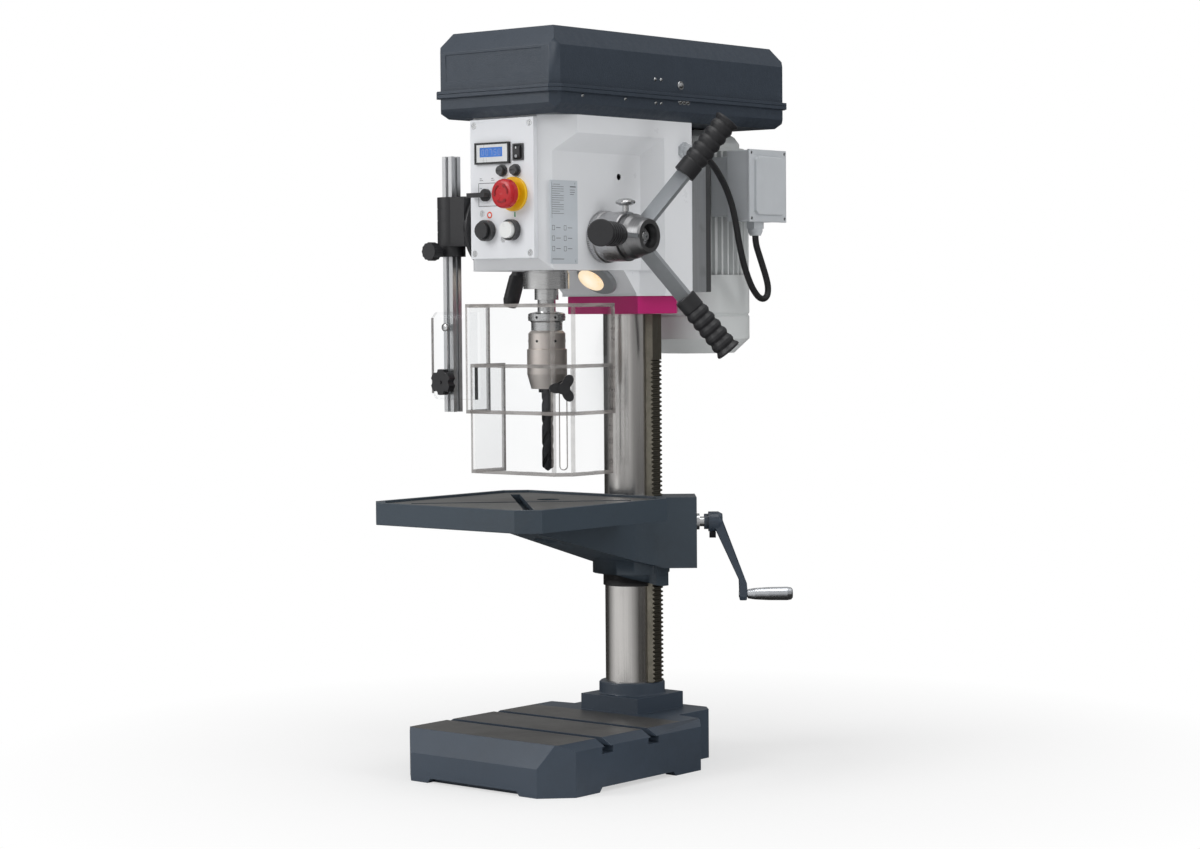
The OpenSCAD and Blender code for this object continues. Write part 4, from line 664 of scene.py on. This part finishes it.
def turned(name, spots, axis, profile, mat, body, steps=28):
    """The same turned shape at many places; profile is (radius, height) in millimetres."""
    bm = bmesh.new()
    for s in spots:
        m = Matrix.Translation([c * MM for c in s]) @ facing(axis)
        rings = []
        for radius, h in profile:
            count = steps if radius else 1
            rings.append([bm.verts.new(m @ Vector((radius * MM * math.cos(around(k, steps)),
                                                   radius * MM * math.sin(around(k, steps)), h * MM)))
                          for k in range(count)])
        bridge(bm, rings)
    bmesh.ops.recalc_face_normals(bm, faces=bm.faces)
    ob = new_object(name, bm, [mat], body, smooth=TURNED_SHARP)


def on_front(y0, y1, *rects):
    """Boxes between two depths over (x0, z0, x1, z1) rectangles."""
    return [((x0, y0, z0), (x1, y1, z1)) for x0, z0, x1, z1 in rects]


# Front faces that carry prints, in millimetres
PANEL_Y, FACE_Y = -270.0, -272.8
ROCKER_Y = (-275.75, -275.3)
OFF_AT = (-22.5, PANEL_Y + 0.2, 770)

# Printed lines round the selector, with its marks
boxes("selector_print", on_front(
    PANEL_Y - 0.1, PANEL_Y + 0.2,
    (-42, 812.6, 12, 813.4), (-42, 781.6, 12, 782.4), (-42.4, 782, -41.6, 813),
    (-40, 816.5, -34, 817.2), (-40, 819, -36, 819.7), (-19, 816.5, -13, 817.2), (-19, 819, -15, 819.7),
    (-40, 806, -36, 806.6), (-16, 806, -12, 806.6)), "print_dark", "frame")
# Signs of the push buttons: a red ring for off, a green bar for on
turned("off_sign", [OFF_AT], FORWARD, [(2.6, 0), (4.6, 0), (4.6, 0.35), (2.6, 0.35)],
       "print_red", "frame", 36)
turned("off_sign_middle", [OFF_AT], FORWARD, [(2.62, 0), (2.62, 0.36), (0, 0.36)],
       "paint_panel", "frame", 36)
boxes("on_sign", on_front(PANEL_Y - 0.15, PANEL_Y + 0.2, (22, 766.4, 24.2, 773)),
      "print_green", "frame")
# Read-out: silver surround, blue window and five seven-bar digits
boxes("readout_face", on_front(
    FACE_Y - 0.25, FACE_Y + 0.1,
    (-43.3, 841.2, -37, 864.8), (4, 841.2, 13.3, 864.8), (-37, 841.2, 4, 848), (-37, 861, 4, 864.8)),
    "aluminium", "frame")
boxes("readout_window", on_front(FACE_Y + 0.3, FACE_Y + 1.3, (-37, 848, 4, 861)),
      "display_face", "frame")
# Bars that are lit in the digits shown
SEGMENTS = {"0": "abcdef", "5": "afgcd", "7": "abc"}
BAR = 0.9


def digits(text, x0, z0, w, h, step, y):
    """Seven-bar digits of size w by h; the lower left corner of the first is x0, z0."""
    out = []
    mid, top = z0 + h / 2, z0 + h
    for i, ch in enumerate(text):
        x = x0 + i * step
        end = x + w
        bars = {"a": (x, top - BAR, end, top), "g": (x, mid - BAR / 2, end, mid + BAR / 2),
                "d": (x, z0, end, z0 + BAR), "f": (x, mid, x + BAR, top), "b": (end - BAR, mid, end, top),
                "e": (x, z0, x + BAR, mid), "c": (end - BAR, z0, end, mid)}
        out += on_front(y, y + 0.2, *(bars[k] for k in SEGMENTS[ch]))
    return out


boxes("readout_digits", digits("00750", x0=-34.0, z0=850.2, w=4.6, h=8.4, step=7.4, y=FACE_Y + 0.15),
      "digit_blue", "frame")
# Marks on the rocker: a bar above and a box below
boxes("rocker_marks", on_front(
    *ROCKER_Y, (29.9, 857, 31.1, 860), (29.2, 845.6, 31.8, 846.3), (29.2, 848.2, 31.8, 848.9),
    (29.0, 845.6, 29.6, 848.9), (31.4, 845.6, 32.0, 848.9)), "print_white", "rocker")

# Ruled lines and boxes on the riveted plate on the side of the head
PLATE_X, INK = 71.75, 0.12


def on_plate(y0, z0, y1, z1):
    return (PLATE_X, y0, z0), (PLATE_X + INK, y1, z1)


rules = [on_plate(-250, 809 - 3.0 * k, -250 + (24 if k % 4 else 16), 809.5 - 3.0 * k) for k in range(14)]
rules += [on_plate(-250.6, 764, -250.2, 811), on_plate(-213, 806, -201, 807.2),
          on_plate(-213, 802, -203, 802.6), on_plate(-213, 799, -203, 799.6),
          on_plate(-213, 796, -205, 796.6)]
for z in (754, 740, 726):
    for y in (-250, -226):
        rules += [on_plate(y, z, y + 5, z + 0.5), on_plate(y, z - 6, y + 5, z - 5.5),
                  on_plate(y, z - 6, y + 0.5, z), on_plate(y + 4.5, z - 6, y + 5, z),
                  on_plate(y + 8, z - 3, y + 17, z - 2.3)]
rules.append(on_plate(-250, 709, -226, 709.8))
boxes("plate_rules", rules, "print_dark", "frame")

# Depth scale on the feed ring: 72 ticks, each sixth one long
RING_X, RING_Y, RING_Z, RING_RADIUS = 0.0722, -0.143, 0.740, 0.0355
TICKS, LONG_TICK, SHORT_TICK = 72, 5.5, 3.2
bm = bmesh.new()
for k in range(TICKS):
    tick = (LONG_TICK if k % 6 == 0 else SHORT_TICK) * MM
    add_cube(bm, Matrix.Translation((RING_X + tick / 2, RING_Y, RING_Z))
             @ Matrix.Rotation(math.radians(k * 360 / TICKS), 4, "X") @ Matrix.Translation((0, 0, RING_RADIUS))
             @ Matrix.Diagonal((tick, 0.0005, 0.0002, 1.0)))
ring_scale = new_object("depth_scale", bm, ["print_dark"], BODY["depth_ring"])

# Domed screws and the two halves of the catch on the belt cover
DOME = [(0, 1.5), (1.2, 1.35), (2.2, 0.8), (2.6, 0.0), (2.6, -0.6)]
LID_CATCH = [(0, 2.9), (3.0, 2.8), (3.9, 2.2), (3.9, 1.4), (5.9, 1.4), (6.3, 0.9), (6.3, -0.8)]
TRAY_CATCH = [(0, 2.2), (2.2, 2.0), (3.0, 1.2), (3.0, 0.6), (4.4, 0.6), (4.6, 0.1), (4.6, -0.5)]
COVER_X = 108.3
turned("tray_screws", [(COVER_X, y, z) for y, z in ((-228, 926.5), (-138, 926.5), (-72, 924.5), (-60, 924.5))],
       RIGHTWARD, DOME, "steel_bright", "frame")
turned("lid_screws", [(COVER_X, y, 956.5) for y in (-73, -60)], RIGHTWARD, DOME,
       "steel_bright", "lid")
turned("lid_catch", [(COVER_X, -17, 951)], RIGHTWARD, LID_CATCH, "steel_bright", "lid", 40)
turned("tray_catch", [(COVER_X, y, 929) for y in (-17.5, -0.5, -9)], RIGHTWARD, TRAY_CATCH,
       "steel_bright", "frame", 36)
# Screw that carries the guard plate
GUARD_SCREW = [(0, 3.3), (2.6, 3.2), (4.6, 2.6), (5.55, 1.4), (5.6, 0.0)]
turned("guard_screw", [(-138, -235.3, 618)], FORWARD, GUARD_SCREW, "steel_bright", "bar", 40)
# Corner screws of the terminal box
LID_X = 138.9
LID_SCREW = [(0, 2.0), (1.6, 1.9), (2.3, 1.2), (2.4, 0.0)]
turned("lid_corner_screws", [(LID_X - 2.4, y, z) for y in (107, 186) for z in (769, 862)], RIGHTWARD, LID_SCREW,
       "steel_bright", "frame")
# Washer and screw that close the hub
HUB_SCREW = [(0, 5.5), (2.9, 5.5), (3.0, 9.4), (6.2, 9.4), (6.9, 8.7), (6.9, 2.6), (12.6, 2.6), (13.4, 1.9),
             (13.4, 0.0)]
turned("hub_screw", [(136.9, -143, 740)], RIGHTWARD, HUB_SCREW, "steel_bright", "feed", 40)

# Polished lip round the slot of the lower sheet, in the painted edge reflection; in millimetres, negative
# depths lie behind the cut corner
SLOT_TOP, SLOT_LOW, SLOT_RADIUS, LIP = 537, 432, 4.5, 1.1
SLOT_STEPS = 48
SLOT_OUT = Vector((1, -1, 0)).normalized()
SLOT_ALONG = Vector((1, 1, 0)).normalized()
SLOT_MID = Vector((88.75, -249.75, 0))
bm = bmesh.new()
loops = []
for depth in (-4.5, -8.7):
    for radius in (SLOT_RADIUS, SLOT_RADIUS + LIP):
        loop = []
        for k in range(SLOT_STEPS):
            a = around(k, SLOT_STEPS)
            z = (SLOT_TOP if k < SLOT_STEPS / 2 else SLOT_LOW) + radius * math.sin(a)
            loop.append(bm.verts.new((SLOT_MID + SLOT_OUT * depth + SLOT_ALONG * radius * math.cos(a)
                                      + Vector((0, 0, z))) * MM))
        loops.append(loop)
bridge(bm, [loops[i] for i in (0, 1, 3, 2, 0)], capped=False)
bmesh.ops.recalc_face_normals(bm, faces=bm.faces)
ob = new_object("slot_lip", bm, ["acrylic_edge_reflection"], BODY["guard_lower_sheet"])

# Key holes in the two rings of the chuck, as shallow discs painted dark as the shade inside them
CHUCK_Y, CHUCK_RADIUS = -0.180, 25.5
KEY_HOLES, FIRST_HOLE = 6, -22
for name, z, body in (("chuck_ring_hole_shade", 631.0, "chuck_body"), ("sleeve_ring_hole_shade", 598.5, "chuck_sleeve")):
    bm = bmesh.new()
    for k in range(KEY_HOLES):
        a = math.radians(k * 360 / KEY_HOLES + FIRST_HOLE)
        out = Vector((math.cos(a), math.sin(a), 0))
        base = Vector((CHUCK_RADIUS * MM * out.x, CHUCK_Y + CHUCK_RADIUS * MM * out.y, z * MM))
        v = bmesh.ops.create_cone(bm, cap_ends=True, segments=20, radius1=0.0021, radius2=0.0017,
                                  depth=0.0005)["verts"]
        bmesh.ops.transform(bm, matrix=Matrix.Translation(base) @ facing(out), verts=v)
    ob = new_object(name, bm, ["steel_black"], BODY[body])

# Three raised arcs on the stop button, each of small blocks; the last two blocks are the arrow's head
STOP_X, STOP_Y, STOP_Z, ARROW_RADIUS = 0.023, -0.2980, 0.797, 0.0115
ARROW_WIDTH, SHAFT_BLOCKS = 0.0022, 7
bm = bmesh.new()
for j in range(3):
    for k in range(SHAFT_BLOCKS + 2):
        a = math.radians(j * 120 + k * 9)
        w = ARROW_WIDTH if k < SHAFT_BLOCKS else 2 * ARROW_WIDTH - ARROW_WIDTH * (k - SHAFT_BLOCKS)
        at = (STOP_X + ARROW_RADIUS * math.cos(a), STOP_Y, STOP_Z + ARROW_RADIUS * math.sin(a))
        add_cube(bm, Matrix.Translation(at) @ Matrix.Rotation(-a, 4, "Y")
                 @ Matrix.Diagonal((w, 0.0009, 0.0019, 1.0)))
ob = new_object("stop_arrows", bm, ["plastic_red_dark"], BODY["emergency_stop_button"])

# ------------------------------------------------------------------ studio
# The bright wall that gloss sees lies this way
WALL = (-0.1, -0.95, 0.25)
SMOOTH = "SMOOTHSTEP"


def floor():
    """White floor for the camera; gloss sees it bright towards the wall and dark elsewhere."""
    t = material("floor")
    x, y, _ = t.xyz()
    rays = t.add("ShaderNodeLightPath").outputs
    cloud = t.noise(t.scaled(1.0), scale=3.0, detail=3.0)
    pale = t.mix(t.range(cloud, 0.3, 0.7, 0.0, 1.0), (0.86, 0.86, 0.86), (0.88, 0.88, 0.88))
    reach = t.length(x, y)
    to_wall = t.math("ADD", t.math("MULTIPLY", x, WALL[0]), t.math("MULTIPLY", y, WALL[1]))
    ahead = t.math("DIVIDE", to_wall, t.math("ADD", reach, 0.001))
    mirrored = t.mix(t.range(ahead, 0.2, 0.85, 0.0, 1.0), (0.05, 0.048, 0.045), (0.8, 0.8, 0.8))
    lit = t.shader("ShaderNodeBsdfDiffuse", Color=t.mix(rays["Is Glossy Ray"], pale, mirrored))
    white = t.shader("ShaderNodeEmission", Strength=1.0)
    seen = t.math("MAXIMUM", rays["Is Camera Ray"], rays["Is Transmission Ray"])
    t.finish(t.blend(t.math("MULTIPLY", seen, t.range(reach, 0.3, 0.95, 0.55, 1.0)), lit, white))
    bm = bmesh.new()
    bmesh.ops.create_circle(bm, cap_ends=True, radius=9.0, segments=96)
    ob = new_object("floor", bm, ["floor"], None)


def sky():
    """White behind everything and soft light for the surfaces.

    Gloss sees a room: a bright front wall, a ceiling, a grey rear and lighter right side.
    """
    world = bpy.data.worlds.new("world")
    SCENE.world = world
    world.use_nodes = True
    t = Tree(world.node_tree, "ShaderNodeOutputWorld")
    rays = t.add("ShaderNodeLightPath").outputs
    way = t.xyz("Generated")
    dot = t.add("ShaderNodeVectorMath", operation="DOT_PRODUCT")
    t.put(dot.inputs[0], t.coord.outputs["Generated"])
    t.put(dot.inputs[1], WALL)
    strength = t.range(way["Z"], 0.02, 0.3, 0.1, 0.42, SMOOTH)
    for part in (t.range(way["Z"], 0.45, 0.8, 0.0, 0.8, SMOOTH),
                 t.range(dot.outputs["Value"], 0.25, 0.85, 0.1, 0.95, SMOOTH),
                 t.range(way["X"], 0.45, 0.95, 0.0, 0.48, SMOOTH)):
        strength = t.math("MAXIMUM", strength, part)
    soft = t.shader("ShaderNodeBackground", Color=(1.0, 1.0, 1.0), Strength=0.4)
    white = t.shader("ShaderNodeBackground", Color=(1.0, 1.0, 1.0), Strength=1.0)
    room = t.shader("ShaderNodeBackground", Strength=strength)
    seen = t.math("MAXIMUM", rays["Is Camera Ray"], rays["Is Transmission Ray"])
    t.finish(t.blend(seen, t.blend(rays["Is Glossy Ray"], soft, room), white))


def area(name, loc, target, width, height, power):
    """A rectangular light at loc that looks at target."""
    d = bpy.data.lights.new(name, "AREA")
    d.shape = "RECTANGLE"
    d.size = width
    d.size_y = height
    d.energy = power
    o = bpy.data.objects.new(name, d)
    SCENE.collection.objects.link(o)
    o.location = loc
    o.rotation_euler = (Vector(target) - Vector(loc)).to_track_quat("-Z", "Y").to_euler()
    return o


floor()
sky()
area("key", (-1.6, -3.4, 2.6), (0, -0.1, 0.55), width=1.6, height=2.2, power=70.0)
fill = area("fill", (3.4, 0.2, 1.6), (0, 0, 0.6), width=1.2, height=2.4, power=30.0)
# Its mirror image leaves white specks on grazing faces
fill.visible_glossy = False
area("top", (0.4, -0.6, 3.6), (0, 0, 0.6), width=2.4, height=2.4, power=38.0)
